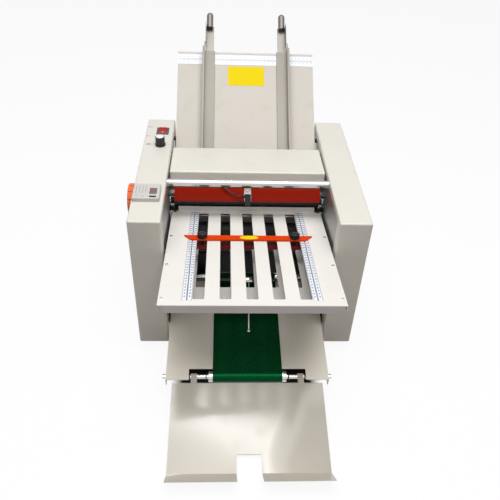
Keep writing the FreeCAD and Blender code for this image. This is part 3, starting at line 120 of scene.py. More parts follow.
class Bench:
    """The node tree of a material or the world, with one method that makes every node."""

    def __init__(self, owner: bpy.types.Material | bpy.types.World) -> None:
        """Empties the owner's node tree."""
        owner.use_nodes = True
        self.owner = owner
        self.tree = owner.node_tree
        self.tree.nodes.clear()

    def node(self, kind: str, settings: dict[str, object], values: dict[int | str, object],
             output: int | str = 0) -> Link:
        """Makes a node, sets it up and joins what it takes.

        Args:
            kind: the node's type.
            settings: its own settings, which are set first.
            values: numbers, colours or links, by input.
            output: the output that is wanted.

        Returns:
            The wanted output.
        """
        made = self.tree.nodes.new(kind)
        for name, value in settings.items():
            setattr(made, name, value)
        for place, value in values.items():
            if isinstance(value, Link):
                self.tree.links.new(value.socket, made.inputs[place])
            else:
                made.inputs[place].default_value = value
        return Link(self, made.outputs[output] if made.outputs else None)

    def maths(self, operation: str, *values: Link | float) -> Link:
        """One Math node on the values, in their order."""
        return self.node("ShaderNodeMath", {"operation": operation}, dict(enumerate(values)))

    def rays(self, kind: str) -> Link:
        """One for the rays of that kind, and zero for the others."""
        return self.node("ShaderNodeLightPath", {}, {}, kind)

    def place(self, stretch: Sequence[float] = (1.0, 1.0, 1.0),
              centre: Sequence[float] = (0.0, 0.0, 0.0)) -> Link:
        """Object coordinates, centred and stretched.

        Args:
            stretch: a factor for each axis.
            centre: the point, in metres, that becomes zero.

        Returns:
            The coordinates.
        """
        raw = self.node("ShaderNodeTexCoord", {}, {}, "Object")
        moved = self.node("ShaderNodeVectorMath", {"operation": "SUBTRACT"},
                          {0: raw, 1: tuple(centre)})
        return self.node("ShaderNodeMapping", {"vector_type": "POINT"},
                         {"Vector": moved, "Scale": tuple(stretch)})

    def noise(self, place: Link, scale: float, detail: float = 3.0) -> Link:
        """A noise value from zero to one.

        Args:
            place: the coordinates.
            scale: how fine it is, per metre.
            detail: the number of finer layers.

        Returns:
            The noise.
        """
        return self.node("ShaderNodeTexNoise", {},
                         {"Vector": place, "Scale": scale, "Detail": detail})

    def part(self, place: Link, axis: str) -> Link:
        """One coordinate of a vector, named X, Y or Z."""
        return self.node("ShaderNodeSeparateXYZ", {}, {0: place}, axis)

    def blend(self, share: Link | float, first: Colour | Link, second: Colour | Link) -> Link:
        """A colour between two others.

        Args:
            share: zero for the first, one for the second.
            first: the first colour.
            second: the second colour.

        Returns:
            The mixed colour.
        """
        ends = {i: value if isinstance(value, Link) else (*value, 1.0)
                for i, value in ((6, first), (7, second))}
        return self.node("ShaderNodeMix", {"data_type": "RGBA"}, {0: share, **ends}, 2)

    def bump(self, height: Link, strength: float, depth: float) -> Link:
        """A normal that follows a height.

        Args:
            height: the height, from zero to one.
            strength: how much of it shows.
            depth: the height of one, in metres.

        Returns:
            The normal.
        """
        return self.node("ShaderNodeBump", {},
                         {"Height": height, "Strength": strength, "Distance": depth}, "Normal")

    def shade(self, **sockets: object) -> bpy.types.Material:
        """Ends the tree in a Principled shader.

        Args:
            **sockets: the shader's inputs, with _ for a space.

        Returns:
            The finished material.
        """
        values = {name.replace("_", " "): value for name, value in sockets.items()}
        surface = self.node("ShaderNodeBsdfPrincipled", {}, values)
        self.node("ShaderNodeOutputMaterial", {}, {"Surface": surface})
        return self.owner


@dataclass(frozen=True)
class Paint:
    """Baked powder paint: nearly even, with a fine orange peel, a soft gloss and a little wear.

    Here and in the next finishes a scale is per metre and a depth in metres, and a value that
    ends in rough is what its pattern adds to the roughness.
    """

    name: str
    colour: Colour
    roughness: float = 0.34
    coat: float = 0.25
    shine: float = 0.45
    drift: float = 0.05
    cloud_scale: float = 9.0
    cloud_rough: float = 0.05
    speck_scale: float = 420.0
    speck_detail: float = 2.0
    speck_rough: float = 0.08
    grime: float = 0.06
    grime_tint: Colour = (1.0, 0.96, 0.88)
    patch_scale: float = 26.0
    patch_detail: float = 6.0
    patch_from: float = 0.56
    patch_rise: float = 5.0
    patch_share: float = 0.5
    patch_rough: float = 0.1
    peel_scale: float = 900.0
    peel_detail: float = 1.5
    peel_strength: float = 0.35
    peel_depth: float = 0.00006
    coat_roughness: float = 0.22
    coat_least: float = 0.8
    coat_drift: float = 0.4

    def make(self) -> bpy.types.Material:
        """Builds the material."""
        bench = Bench(bpy.data.materials.new(self.name))
        place = bench.place()
        cloud = bench.noise(place, self.cloud_scale)
        speck = bench.noise(place, self.speck_scale, self.speck_detail) - 0.5
        wear = bench.noise(place, self.patch_scale, self.patch_detail) - self.patch_from
        patch = (wear * self.patch_rise).clipped() * self.patch_share
        peel = bench.noise(place, self.peel_scale, self.peel_detail)
        dull = tuple(value * tint for value, tint
                     in zip(scaled(self.colour, 1 - self.grime), self.grime_tint))
        clean = bench.blend(cloud, scaled(self.colour, 1 - self.drift),
                            scaled(self.colour, 1 + self.drift / 2))
        return bench.shade(Base_Color=bench.blend(patch, clean, dull),
                           Roughness=(self.roughness + self.speck_rough * speck
                                      + self.cloud_rough * cloud + self.patch_rough * patch),
                           Specular_IOR_Level=self.shine, Coat_Roughness=self.coat_roughness,
                           Coat_Weight=self.coat * (self.coat_least + self.coat_drift * cloud),
                           Normal=bench.bump(peel, self.peel_strength, self.peel_depth))


@dataclass(frozen=True)
class Metal:
    """Bare metal with fine lines that its rolling, drawing or turning left."""

    name: str
    colour: Colour
    roughness: float
    stretch: Place = (1.0, 1.0, 1.0)
    line_scale: float = 260.0
    line_depth: float = 0.00004
    mottle: float = 0.10
    line_detail: float = 4.0
    line_strength: float = 0.3
    line_rough: float = 0.3
    cloud_scale: float = 24.0
    cloud_rough: float = 0.25
    least_rough: float = 0.75

    def make(self) -> bpy.types.Material:
        """Builds the material."""
        bench = Bench(bpy.data.materials.new(self.name))
        lines = bench.noise(bench.place(self.stretch), self.line_scale, self.line_detail)
        cloud = bench.noise(bench.place(), self.cloud_scale)
        rough = self.least_rough + self.line_rough * lines + self.cloud_rough * cloud
        colour = bench.blend(lines, scaled(self.colour, 1 - self.mottle), self.colour)
        return bench.shade(Base_Color=colour, Metallic=1.0, Roughness=self.roughness * rough,
                           Normal=bench.bump(lines, self.line_strength, self.line_depth))


@dataclass(frozen=True)
class Moulding:
    """Moulded plastic or rubber with a fine grain and a little dust."""

    name: str
    colour: Colour
    roughness: float = 0.45
    grain_scale: float = 1400.0
    grain_depth: float = 0.00005
    coat: float = 0.0
    dust: float = 0.10
    shine: float = 0.4
    dust_grey: float = 0.5
    cloud_scale: float = 40.0
    grain_detail: float = 2.0
    grain_strength: float = 0.3
    grain_rough: float = 0.15
    coat_roughness: float = 0.12
    coat_least: float = 0.7
    coat_drift: float = 0.6

    def make(self) -> bpy.types.Material:
        """Builds the material."""
        bench = Bench(bpy.data.materials.new(self.name))
        place = bench.place()
        cloud = bench.noise(place, self.cloud_scale)
        grain = bench.noise(place, self.grain_scale, self.grain_detail)
        dusty = tuple(value + (self.dust_grey - value) * self.dust for value in self.colour)
        tint = tuple(value / max(self.colour) for value in self.colour)
        return bench.shade(Base_Color=bench.blend(cloud * cloud, self.colour, dusty),
                           Roughness=self.roughness + self.grain_rough * (grain - 0.5),
                           Specular_IOR_Level=self.shine, Specular_Tint=(*tint, 1.0),
                           Coat_Weight=self.coat * (self.coat_least + self.coat_drift * cloud),
                           Coat_Roughness=self.coat_roughness,
                           Normal=bench.bump(grain, self.grain_strength, self.grain_depth))


@dataclass(frozen=True)
class Print:
    """Printing ink, which lies a little unevenly and is rubbed thin in places."""

    name: str
    colour: Colour
    ground: Colour
    rubbed: float
    rub_scale: float = 60.0
    rub_detail: float = 5.0
    rub_gain: float = 3.0
    speck_scale: float = 700.0
    speck_detail: float = 2.0
    roughness: float = 0.42
    cloud_scale: float = 300.0
    cloud_rough: float = 0.15

    def make(self) -> bpy.types.Material:
        """Builds the material."""
        bench = Bench(bpy.data.materials.new(self.name))
        place = bench.place()
        rub = bench.noise(place, self.rub_scale, self.rub_detail)
        speck = bench.noise(place, self.speck_scale, self.speck_detail)
        worn = (rub * speck * (self.rubbed * self.rub_gain)).clipped()
        cloud = bench.noise(place, self.cloud_scale)
        return bench.shade(Base_Color=bench.blend(worn, self.colour, self.ground),
                           Roughness=self.roughness + self.cloud_rough * cloud)


RULE_WHITE = (0.78, 0.80, 0.83)
CASE_GREY = (0.56, 0.545, 0.52)


class Finish(Enum):
    """Every finish of the machine."""

    CASING = Paint("casing_paint", (0.70, 0.675, 0.61))
    # Painted shade: the feed table wears the casing's paint made darker, for the less light its steep
    # slope takes from above.
    TABLE = Paint("table_paint_painted_shade", (0.55, 0.51, 0.45), coat=0.0, shine=0.3)
    RAIL = Paint("rail_paint", (0.33, 0.30, 0.255), roughness=0.28, coat=0.0, shine=0.3)
    PLATE = Paint("plate_paint", (0.79, 0.765, 0.72))
    TRAY = Paint("tray_paint", (0.53, 0.49, 0.42), roughness=0.15, coat=0.0, shine=0.5)
    # Painted light: the delivery bed is the casing's paint made paler, to brighten it where the fold
    # plate shades it.
    BED = Paint("delivery_bed_paint_painted_light", (0.88, 0.82, 0.72))
    BAR = Paint("front_bar_paint", (0.56, 0.51, 0.52), roughness=0.38)
    ORANGE = Paint("stop_orange", (0.68, 0.05, 0.002), roughness=0.36, coat=0.0, shine=0.08)
    RED = Paint("guard_red", (0.32, 0.012, 0.002), roughness=0.36, coat=0.0, shine=0.08)
    # Painted shade: the stop's orange paint turned dark red on its counter bar, which hangs in shade
    # beneath the plate.
    ORANGE_IN_PAINTED_SHADE = Paint("counter_bar_painted_shade", (0.16, 0.006, 0.010), roughness=0.35, coat=0.0, shine=0.2)
    MOTOR = Paint("motor_black", (0.03, 0.03, 0.033), roughness=0.4, coat=0.1)
    SILVER = Paint("silver_cap", (0.80, 0.80, 0.80), roughness=0.26, coat=0.4)
    STEEL = Metal("rolled_steel", (0.46, 0.46, 0.455), 0.40, (1.0, 0.12, 1.0))
    BRIGHT_SHEET = Metal("bright_sheet", (0.70, 0.70, 0.69), 0.26, (0.15, 1.0, 1.0))
    TURNED_STEEL = Metal("turned_steel", (0.66, 0.66, 0.66), 0.22, (0.08, 1.0, 1.0))
    # Painted shade: steel made black for the shaded inside of the machine and for the shade in
    # screws' cross recesses.
    SHADE_BLACKENED_STEEL = Metal("steel_blackened_for_painted_shade", (0.06, 0.06, 0.062), 0.42, mottle=0.3)
    GUIDE_STEEL = Metal("guide_steel", (0.18, 0.17, 0.155), 0.42, (1.0, 0.08, 0.08), 500.0)
    CHROME = Metal("chrome", (0.56, 0.55, 0.55), 0.07, (0.05, 1.0, 1.0), 90.0, 0.00001, 0.04)
    ALUMINIUM = Metal("aluminium", (0.74, 0.74, 0.74), 0.30, (0.02, 1.0, 1.0), 500.0)
    RUBBER = Moulding("black_rubber", (0.014, 0.014, 0.015), 0.55, 900.0, 0.00012)
    CABLE = Moulding("cable_sheath", (0.02, 0.02, 0.022), 0.42, 500.0, 0.00003)
    GREY_RUBBER = Moulding("grey_rubber", (0.16, 0.155, 0.15), 0.6, 900.0, 0.00012)
    BELT = Moulding("green_belt", (0.0008, 0.024, 0.007), 0.27, 700.0, 0.00004, 0.0, 0.0, 0.5)
    BLACK = Moulding("black_plastic", (0.010, 0.010, 0.011), 0.38, 1500.0, dust=0.02, shine=0.25)
    BLACK_GLOSS = Moulding("glossy_black", (0.010, 0.010, 0.011), 0.20, 600.0, 0.00002, 0.5, 0.03)
    ORANGE_GRIP = Moulding("orange_plastic", (0.86, 0.20, 0.07), 0.4, dust=0.04)
    RED_LENS = Moulding("red_plastic", (0.34, 0.010, 0.014), 0.2, 300.0, 0.00002, 0.2, 0.03)
    PALE = Moulding("pale_plastic", CASE_GREY, 0.42, 1500.0, 0.00005, 0.1, 0.0)
    RULE = Moulding("rule_white", RULE_WHITE, 0.3, 300.0, 0.00001, 0.3, 0.0)
    YELLOW = Moulding("label_yellow", (0.80, 0.62, 0.012), 0.36, 300.0, 0.00001, 0.0, 0.0, 0.12)
    WINDOW = Moulding("counter_tint", (0.15, 0.085, 0.09), 0.16, 200.0, 0.00001, 0.3, 0.02)
    INK = Print("rule_ink", (0.035, 0.045, 0.10), RULE_WHITE, 0.12)
    BLUE_INK = Print("rule_line_ink", (0.085, 0.11, 0.24), RULE_WHITE, 0.15)
    SOFT_INK = Print("soft_ink", (0.42, 0.43, 0.50), RULE_WHITE, 0.4)
    FADED_INK = Print("faded_ink", (0.22, 0.21, 0.21), CASE_GREY, 0.3)
    DIGITS = Print("digit_ink", (0.34, 0.14, 0.13), (0.20, 0.10, 0.10), 0.15)


# Blackened steel on the base plate, tie rods and frame bolts, and black rubber on the third fold
# roller, are painted shade for the machine's dark inside.
INNER_NODES: dict[Finish, tuple[str, ...]] = {
    Finish.STEEL: ("left_side_frame", "right_side_frame"),
    Finish.TURNED_STEEL: ("roller_bearings", "roller_1_gear", "roller_3_gear"),
    Finish.SHADE_BLACKENED_STEEL: ("frame_bolts", "base_plate", "tie_rods"),
    Finish.ALUMINIUM: ("motor_pulley", "roller_2_drive_wheels", "roller_4_drive_wheels"),
    Finish.RUBBER: ("drive_belts", "fold_roller_1", "fold_roller_3"),
    Finish.GREY_RUBBER: ("fold_roller_2", "fold_roller_4"),
    Finish.ORANGE_GRIP: ("hand_knob",),
    Finish.MOTOR: ("motor",),
}


@dataclass
class Studio:
    """The camera, the lamps, the world and the floor, in metres but for the camera's place."""

    focal_pixels: float = 586.8
    picture_pixels: float = 500.0
    sensor_mm: float = 36.0
    pitch: float = 38.99
    yaw: float = -3.5
    roll: float = -2.7
    camera_mm: Place = (-57.0, -937.0, 1039.0)
    world_light: float = 0.19
    soft_watts: float = 47.5
    soft_size: Span = (2.2, 2.2)
    soft_place: Place = (-0.05, -0.6, 2.4)
    tube_watts: float = 11.0
    tube_size: Span = (1.25, 0.05)
    tube_place: Place = (0.155, -0.163, 2.36)
    tube_turn: float = -23.0
    floor_half: float = 3.0
    floor_colour: Colour = (0.36, 0.325, 0.28)
    floor_seen: Colour = (0.96, 0.96, 0.96)
    floor_glow: float = 0.92
    # Painted shadow: the floor's dark colour in a soft box beneath the object, with the box's half
    # sizes, middle and edge fade.
    painted_shadow_colour: Colour = (0.05, 0.05, 0.05)
    shadow_patch_half: Span = (0.168, 0.288)
    shadow_patch_middle: Span = (0.015, 0.012)
    shadow_patch_fade: float = 40.0

    def camera(self) -> None:
        """Sets the camera at the photograph's place."""
        data = bpy.data.cameras.new("camera")
        data.sensor_width = self.sensor_mm
        data.lens = self.focal_pixels / self.picture_pixels * self.sensor_mm
        camera = add_object("camera", data)
        pitch, yaw, roll = (math.radians(value) for value in (self.pitch, self.yaw, self.roll))
        turn = Matrix.Rotation(yaw, 3, "Z")
        ahead = turn @ Vector((0.0, math.cos(pitch), -math.sin(pitch)))
        right = turn @ Vector((1.0, 0.0, 0.0))
        down = ahead.cross(right)
        level = right * math.cos(roll) + down * math.sin(roll)
        fall = down * math.cos(roll) - right * math.sin(roll)
        axes = Matrix((level, -fall, -ahead)).transposed()
        place = CORNER + Vector(self.camera_mm) * MM
        camera.matrix_world = Matrix.Translation(place) @ axes.to_4x4()
        bpy.context.scene.camera = camera

    def lamp(self, name: str, place: Place, size: Span, watts: float, turn: float = 0.0) -> None:
        """One rectangular lamp overhead that shines straight down.

        Args:
            name: its name.
            place: where it hangs.
            size: its length and width.
            watts: its power.
            turn: how it lies, in degrees about the upright.
        """
        data = bpy.data.lights.new(name, "AREA")
        data.shape = "RECTANGLE"
        data.size, data.size_y = size
        data.energy = watts
        lamp = add_object(name, data)
        lamp.location = place
        lamp.rotation_euler.z = math.radians(turn)

    def world(self) -> None:
        """White for the camera and for mirror images, a plain soft light for the rest."""
        world = bpy.data.worlds.new("studio")
        bpy.context.scene.world = world
        bench = Bench(world)
        direct = bench.maths("MAXIMUM", bench.rays("Is Camera Ray"),
                             bench.rays("Is Transmission Ray"))
        seen = bench.maths("MAXIMUM", direct, bench.rays("Is Glossy Ray"))
        light, white = (bench.node("ShaderNodeBackground", {}, {"Color": WHITE, "Strength": strength})
                        for strength in (self.world_light, 1.0))
        mixed = bench.node("ShaderNodeMixShader", {}, {0: seen, 1: light, 2: white})
        bench.node("ShaderNodeOutputWorld", {}, {"Surface": mixed})

    def floor(self) -> None:
        """A plain pale floor, nearly white to the camera, with a painted shadow: dark in a soft box
        beneath the object.
        """
        shape = bmesh.new()
        bmesh.ops.create_grid(shape, x_segments=1, y_segments=1, size=self.floor_half)
        mesh = bpy.data.meshes.new("floor")
        shape.to_mesh(mesh)
        shape.free()
        bench = Bench(bpy.data.materials.new("floor_white"))
        # The shadow patch: a soft box beneath the machine where the floor is painted dark as its
        # shadow and the glow is taken away.
        place = bench.place(centre=(*self.shadow_patch_middle, 0.0))
        across, along = (((half - bench.maths("ABSOLUTE", bench.part(place, axis)))
                          * self.shadow_patch_fade).clipped() for axis, half in zip("XY", self.shadow_patch_half))
        shadow_patch = across * along
        seen = (bench.rays("Is Camera Ray") + bench.rays("Is Glossy Ray")).clipped()
        open_floor = seen * (1 - shadow_patch)
        # Painted shadow: the floor's own colour turns dark inside the patch.
        colour_with_painted_shadow = bench.blend(shadow_patch, self.floor_colour, self.painted_shadow_colour)
        shown = bench.blend(open_floor, colour_with_painted_shadow, self.floor_seen)
        plain = bench.node("ShaderNodeBsdfDiffuse", {}, {"Color": shown})
        glow = bench.node("ShaderNodeEmission", {}, {"Color": WHITE, "Strength": 1.0})
        mixed = bench.node("ShaderNodeMixShader", {},
                           {0: self.floor_glow * open_floor, 1: plain, 2: glow})
        bench.node("ShaderNodeOutputMaterial", {}, {"Surface": mixed})
        mesh.materials.append(bench.owner)
        add_object("floor", mesh)

    def build(self) -> None:
        """Sets up the whole studio."""
        bpy.context.scene.view_settings.view_transform = "Standard"
        self.camera()
        self.world()
        self.floor()
        self.lamp("soft_lamp", self.soft_place, self.soft_size, self.soft_watts)
        self.lamp("tube_lamp", self.tube_place, self.tube_size, self.tube_watts, self.tube_turn)


@dataclass(frozen=True)
class Slope:
    """A plane that rises or falls with Y: t runs along it and n stands off it, in millimetres."""

    y: float
    z: float
    degrees: float

    def matrix(self) -> Matrix:
        """Turns (x, t, n) into the machine's (x, y, z)."""
        turn = Matrix.Rotation(math.radians(self.degrees), 4, "X")
        return Matrix.Translation((0.0, self.y, self.z)) @ turn

    def at(self, x: float, t: float, n: float) -> Vector:
        """The machine's point at x, t and n."""
        return self.matrix() @ Vector((x, t, n))

    def off(self) -> Vector:
        """The direction that stands off the plane."""
        return self.matrix().to_3x3() @ Vector(UP)


class Plane(Enum):
    """The planes that pieces are laid out on."""

    LEVEL = Slope(0.0, 0.0, 0.0)
    UPPER_PLATE = Slope(-176.611, 292.381, -8.45)
    FEED_TABLE = Slope(367.0, 308.0, 38.16)
    GUARD = Slope(173.5, 279.8, 50.4)


class Shape:
    """A mesh in the making, in millimetres of the machine's own frame.

    X is 0 in the middle of the paper, Y at the casings' fronts and Z at the casings' bottom.
    """

    node_merge: float = 0.002
    turned_merge: float = 0.0005
    flat_degrees: float = 0.4
    sharp_degrees: float = 35.0

    def __init__(self) -> None:
        """Starts with nothing."""
        self.mesh = bmesh.new()

    @staticmethod
    def to_model() -> Matrix:
        """Turns the machine's own millimetres into the model's metres."""
        return Matrix.Translation(CORNER) @ Matrix.Scale(MM, 4)

    @classmethod
    def of_node(cls, name: str, keep: Callable[[Vector], bool] | None = None) -> "Shape":
        """A merged copy of a CAD node, with its flat faces whole again.

        Args:
            name: the node.
            keep: picks faces by their middle, or nothing for all.

        Returns:
            The copy.
        """
        shape = cls()
        mesh = shape.mesh
        mesh.from_mesh(frame["nodes"][name].data)
        shape.move(cls.to_model().inverted())
        bmesh.ops.remove_doubles(mesh, verts=mesh.verts, dist=cls.node_merge)
        if keep:
            away = [face for face in mesh.faces if not keep(face.calc_center_median())]
            bmesh.ops.delete(mesh, geom=away, context="FACES")
        bmesh.ops.dissolve_limit(mesh, angle_limit=math.radians(cls.flat_degrees),
                                 verts=mesh.verts, edges=mesh.edges)
        return shape

    def move(self, matrix: Matrix) -> None:
        """Moves the whole shape."""
        bmesh.ops.transform(self.mesh, matrix=matrix, verts=self.mesh.verts)

    def block(self, low: Sequence[float], high: Sequence[float],
              plane: Plane = Plane.LEVEL) -> None:
        """Adds a box.

        Args:
            low: its low corner as x, t and n.
            high: its high corner.
            plane: the plane it lies in.
        """
        middle = [(a + b) / 2 for a, b in zip(low, high)]
        size = [b - a for a, b in zip(low, high)]
        matrix = plane.value.matrix() @ Matrix.Translation(middle) @ Matrix.Diagonal((*size, 1.0))
        bmesh.ops.create_cube(self.mesh, size=1.0, matrix=matrix)

    def rod(self, start: Sequence[float], end: Sequence[float], radius: float,
            far_radius: float | None = None, segments: int = 48) -> None:
        """Adds a round bar or a cone.

        Args:
            start: the middle of its first end.
            end: the middle of its other end.
            radius: its radius at the start.
            far_radius: its radius at the end, if that differs.
            segments: the number of its sides.
        """
        run = Vector(end) - Vector(start)
        turn = run.to_track_quat("Z", "Y").to_matrix().to_4x4()
        matrix = Matrix.Translation((Vector(start) + Vector(end)) / 2) @ turn
        far = radius if far_radius is None else far_radius
        bmesh.ops.create_cone(self.mesh, cap_ends=True, segments=segments, radius1=radius,
                              radius2=far, depth=run.length, matrix=matrix)

    def turned(self, outline: Sequence[Span], foot: Sequence[float], axis: Sequence[float],
               steps: int = 48) -> None:
        """Adds a piece turned on a lathe.

        Args:
            outline: half of it as radius and height, starting and ending on the axis.
            foot: the place of height zero on the axis.
            axis: the direction of the axis.
            steps: the number of its sides.
        """
        part = bmesh.new()
        line = [part.verts.new((radius, 0.0, height)) for radius, height in outline]
        edges = [part.edges.new(pair) for pair in zip(line, line[1:])]
        bmesh.ops.spin(part, geom=line + edges, cent=(0, 0, 0), axis=UP, angle=2 * math.pi,
                       steps=steps, use_merge=True)
        bmesh.ops.remove_doubles(part, verts=part.verts, dist=self.turned_merge)
        bmesh.ops.recalc_face_normals(part, faces=part.faces)
        turn = Vector(axis).to_track_quat("Z", "Y").to_matrix().to_4x4()
        bmesh.ops.transform(part, matrix=Matrix.Translation(foot) @ turn, verts=part.verts)
        self.take(part)

    def take(self, part: bmesh.types.BMesh) -> None:
        """Takes over another mesh's faces."""
        carried = bpy.data.meshes.new("carried")
        part.to_mesh(carried)
        part.free()
        self.mesh.from_mesh(carried)
        bpy.data.meshes.remove(carried)

    def words(self, text: str, height: float, place: Vector, turn: Matrix, thick: float,
              bold: float = 0.0) -> None:
        """Adds plain numerals, printed a hair thick.

        Args:
            text: what is printed.
            height: the letters' size.
            place: the middle of the print.
            turn: how the print lies.
            thick: how far the print stands proud.
            bold: how much the strokes are widened.
        """
        curve = bpy.data.curves.new("print", "FONT")
        curve.body, curve.size, curve.extrude = text, height, thick / 2
        curve.align_x, curve.align_y = "CENTER", "CENTER"
        curve.resolution_u = 2
        curve.offset = bold
        holder = bpy.data.objects.new("print", curve)
        mesh = bpy.data.meshes.new_from_object(holder)
        part = bmesh.new()
        part.from_mesh(mesh)
        bmesh.ops.transform(part, matrix=Matrix.Translation(place) @ turn.to_4x4(),
                            verts=part.verts)
        self.take(part)
        bpy.data.meshes.remove(mesh)
        bpy.data.objects.remove(holder)
        bpy.data.curves.remove(curve)

    def ease(self, width: float, segments: int = 2) -> "Shape":
        """Rounds the sharp edges a little.

        Args:
            width: how far the rounding reaches.
            segments: its steps.

        Returns:
            This shape.
        """
        edges = [edge for edge in self.mesh.edges if edge.is_manifold
                 and edge.calc_face_angle(0.0) > math.radians(self.sharp_degrees)]
        bmesh.ops.bevel(self.mesh, geom=edges, offset=width, offset_type="OFFSET", affect="EDGES",
                        segments=segments, profile=0.5, material=-1, clamp_overlap=True)
        return self


@dataclass(frozen=True)
class Look:
    """What a CAD node is given: its finish, and how far and in how many steps it is eased.

    A piece that stands for only some of a node's faces also has a test that picks them, and a name.
    """

    node: str
    finish: Finish
    width: float = 0.35
    segments: int = 2
    keep: Callable[[Vector], bool] | None = None
    name: str | None = None


class Workshop:
    """Turns shapes into finished pieces, and makes each finish's material once."""

    smooth_degrees: float = 40.0
    head_outline: tuple[Span, ...] = ((0.0, 1.0), (0.55, 0.93), (0.88, 0.6), (1.0, 0.2),
                                      (1.0, 0.0), (0.0, 0.0))
    head_steps: int = 32
    cross_high: float = 0.93
    cross_deep: float = 0.2
    cross_arms: tuple[Span, ...] = ((1.1, 0.24), (0.24, 1.1))

    def __init__(self) -> None:
        """Notes every node's body and slot."""
        self.made: dict[Finish, bpy.types.Material] = {}
        record = frame["record"]
        self.body = {node: body for body, nodes in record["behaviour"]["bodies"].items()
                     for node in nodes}
        self.slot = {row["node"]: row["material_slot"] for row in record["subparts"]}

    def material(self, finish: Finish) -> bpy.types.Material:
        """The finish's material, made on first use."""
        if finish not in self.made:
            self.made[finish] = finish.value.make()
        return self.made[finish]

    def piece(self, shape: Shape, name: str, finish: Finish, like: str,
              replaces: bool = False) -> None:
        """Makes a finished piece.

        Args:
            shape: its shape, which is used up.
            name: its name.
            finish: its finish.
            like: the node whose body it takes.
            replaces: whether it stands for that node.
        """
        shape.move(Shape.to_model())
        mesh = bpy.data.meshes.new(name)
        shape.mesh.to_mesh(mesh)
        shape.mesh.free()
        mesh.polygons.foreach_set("use_smooth", [True] * len(mesh.polygons))
        mesh.set_sharp_from_angle(angle=math.radians(self.smooth_degrees))
        mesh.materials.append(self.material(finish))
        made = add_object(name, mesh)
        made.modifiers.new("even_normals", "WEIGHTED_NORMAL").keep_sharp = True
        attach(made, self.body[like])
        if replaces:
            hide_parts(like)
        log.info("%s: %s, %d faces", name, finish.value.name, len(mesh.polygons))

    def eased(self, look: Look) -> None:
        """Makes a node's shape with its edges eased, in the node's stead."""
        shape = Shape.of_node(look.node, look.keep)
        if look.width:
            shape.ease(look.width, look.segments)
        self.piece(shape, look.name or look.node + "_eased", look.finish, look.node, replaces=True)

    def screws(self, names: tuple[str, str], like: str, places: Sequence[Sequence[float]],
               axis: Sequence[float], size: Span) -> None:
        """Makes domed screw heads as one piece, and their cross recesses as another, in blackened
        steel that paints the shade in the recesses.

        Args:
            names: the two pieces' names.
            like: the node whose body they take.
            places: the middle of each head's underside.
            axis: the direction the heads face.
            size: a head's radius and height.
        """
        heads, crosses = Shape(), Shape()
        radius, height = size
        outline = [(radius * out, height * up) for out, up in self.head_outline]
        turn = Vector(axis).to_track_quat("Z", "Y").to_matrix().to_4x4()
        rise = Matrix.Translation((0.0, 0.0, height * self.cross_high))
        for place in places:
            heads.turned(outline, place, axis, self.head_steps)
            for arm in self.cross_arms:
                stretch = Matrix.Diagonal((radius * arm[0], radius * arm[1],
                                           height * self.cross_deep, 1.0))
                bmesh.ops.create_cube(crosses.mesh, size=1.0,
                                      matrix=Matrix.Translation(place) @ turn @ rise @ stretch)
        self.piece(heads, names[0], Finish.TURNED_STEEL, like)
        # The recesses are blackened steel: painted shade.
        self.piece(crosses, names[1], Finish.SHADE_BLACKENED_STEEL, like)


class Assembly:
    """A sub-assembly: CAD nodes with their edges eased, and small details of its own."""

    looks: tuple[Look, ...] = ()

    def build(self, shop: Workshop) -> None:
        """Dresses the nodes, then makes the details."""
        log.info("building %s", type(self).__name__)
        for look in self.looks:
            shop.eased(look)
        self.details(shop)

    def details(self, shop: Workshop) -> None:
        """Makes the small pieces that the CAD model doesn't have."""


@dataclass
class InnerWorks(Assembly):
    """Frames, rollers, gears, belts and the motor. An axis along X is given as its y and z."""

    looks = tuple(Look(name, finish, 0.15 if "gear" in name else 0.35)
                  for finish, names in INNER_NODES.items() for name in names)
    edge: float = 0.4
    screw_axes: tuple[Span, ...] = ((135.0, 170.0), (370.0, 38.0), (70.0, 133.5))
    frame_out: float = 184.5
    head_out: float = 188.0
    head_radius: float = 5.5
    washer_out: float = 185.5
    washer_radius: float = 7.0
    motor_axis: Span = (300.0, 58.0)
    motor_end: float = -75.6
    rib_count: int = 7
    rib_start: float = -150.0
    rib_pitch: float = 9.0
    rib_width: float = 2.5
    rib_radius: float = 27.2
    cap_end: float = -72.5
    cap_radii: Span = (17.0, 15.5)
    bolt_offset: float = 20.0
    bolt_end: float = -73.4
    bolt_radius: float = 2.6
    bolt_edge: float = 0.3

    def details(self, shop: Workshop) -> None:
        """Makes the screw heads and the motor's small parts."""
        self.frame_screws(shop)
        self.motor_details(shop)

    def frame_screws(self, shop: Workshop) -> None:
        """Hexagon heads on washers, where tie rods and pins are fastened to the side frames."""
        shape = Shape()
        for y, z in self.screw_axes:
            for side in SIDES:
                foot = (side * self.frame_out, y, z)
                shape.rod(foot, (side * self.head_out, y, z), self.head_radius, segments=6)
                shape.rod(foot, (side * self.washer_out, y, z), self.washer_radius, segments=32)
        # Blackened steel: painted shade for the machine's inside.
        shop.piece(shape.ease(self.edge), "frame_screw_heads", Finish.SHADE_BLACKENED_STEEL, "tie_rods")

    def motor_details(self, shop: Workshop) -> None:
        """Cooling ribs, an end cap and two through-bolts on the motor."""
        ribs, bolts = Shape(), Shape()
        y, z = self.motor_axis
        for i in range(self.rib_count):
            x = self.rib_start + self.rib_pitch * i
            ribs.rod((x, y, z), (x + self.rib_width, y, z), self.rib_radius, segments=64)
        ribs.rod((self.motor_end, y, z), (self.cap_end, y, z), *self.cap_radii)
        for side in SIDES:
            bolt_y = y + side * self.bolt_offset
            bolts.rod((self.motor_end, bolt_y, z), (self.bolt_end, bolt_y, z), self.bolt_radius)
        shop.piece(ribs.ease(self.edge), "motor_ribs", Finish.MOTOR, "motor")
        shop.piece(bolts.ease(self.bolt_edge), "motor_bolts", Finish.TURNED_STEEL, "motor")


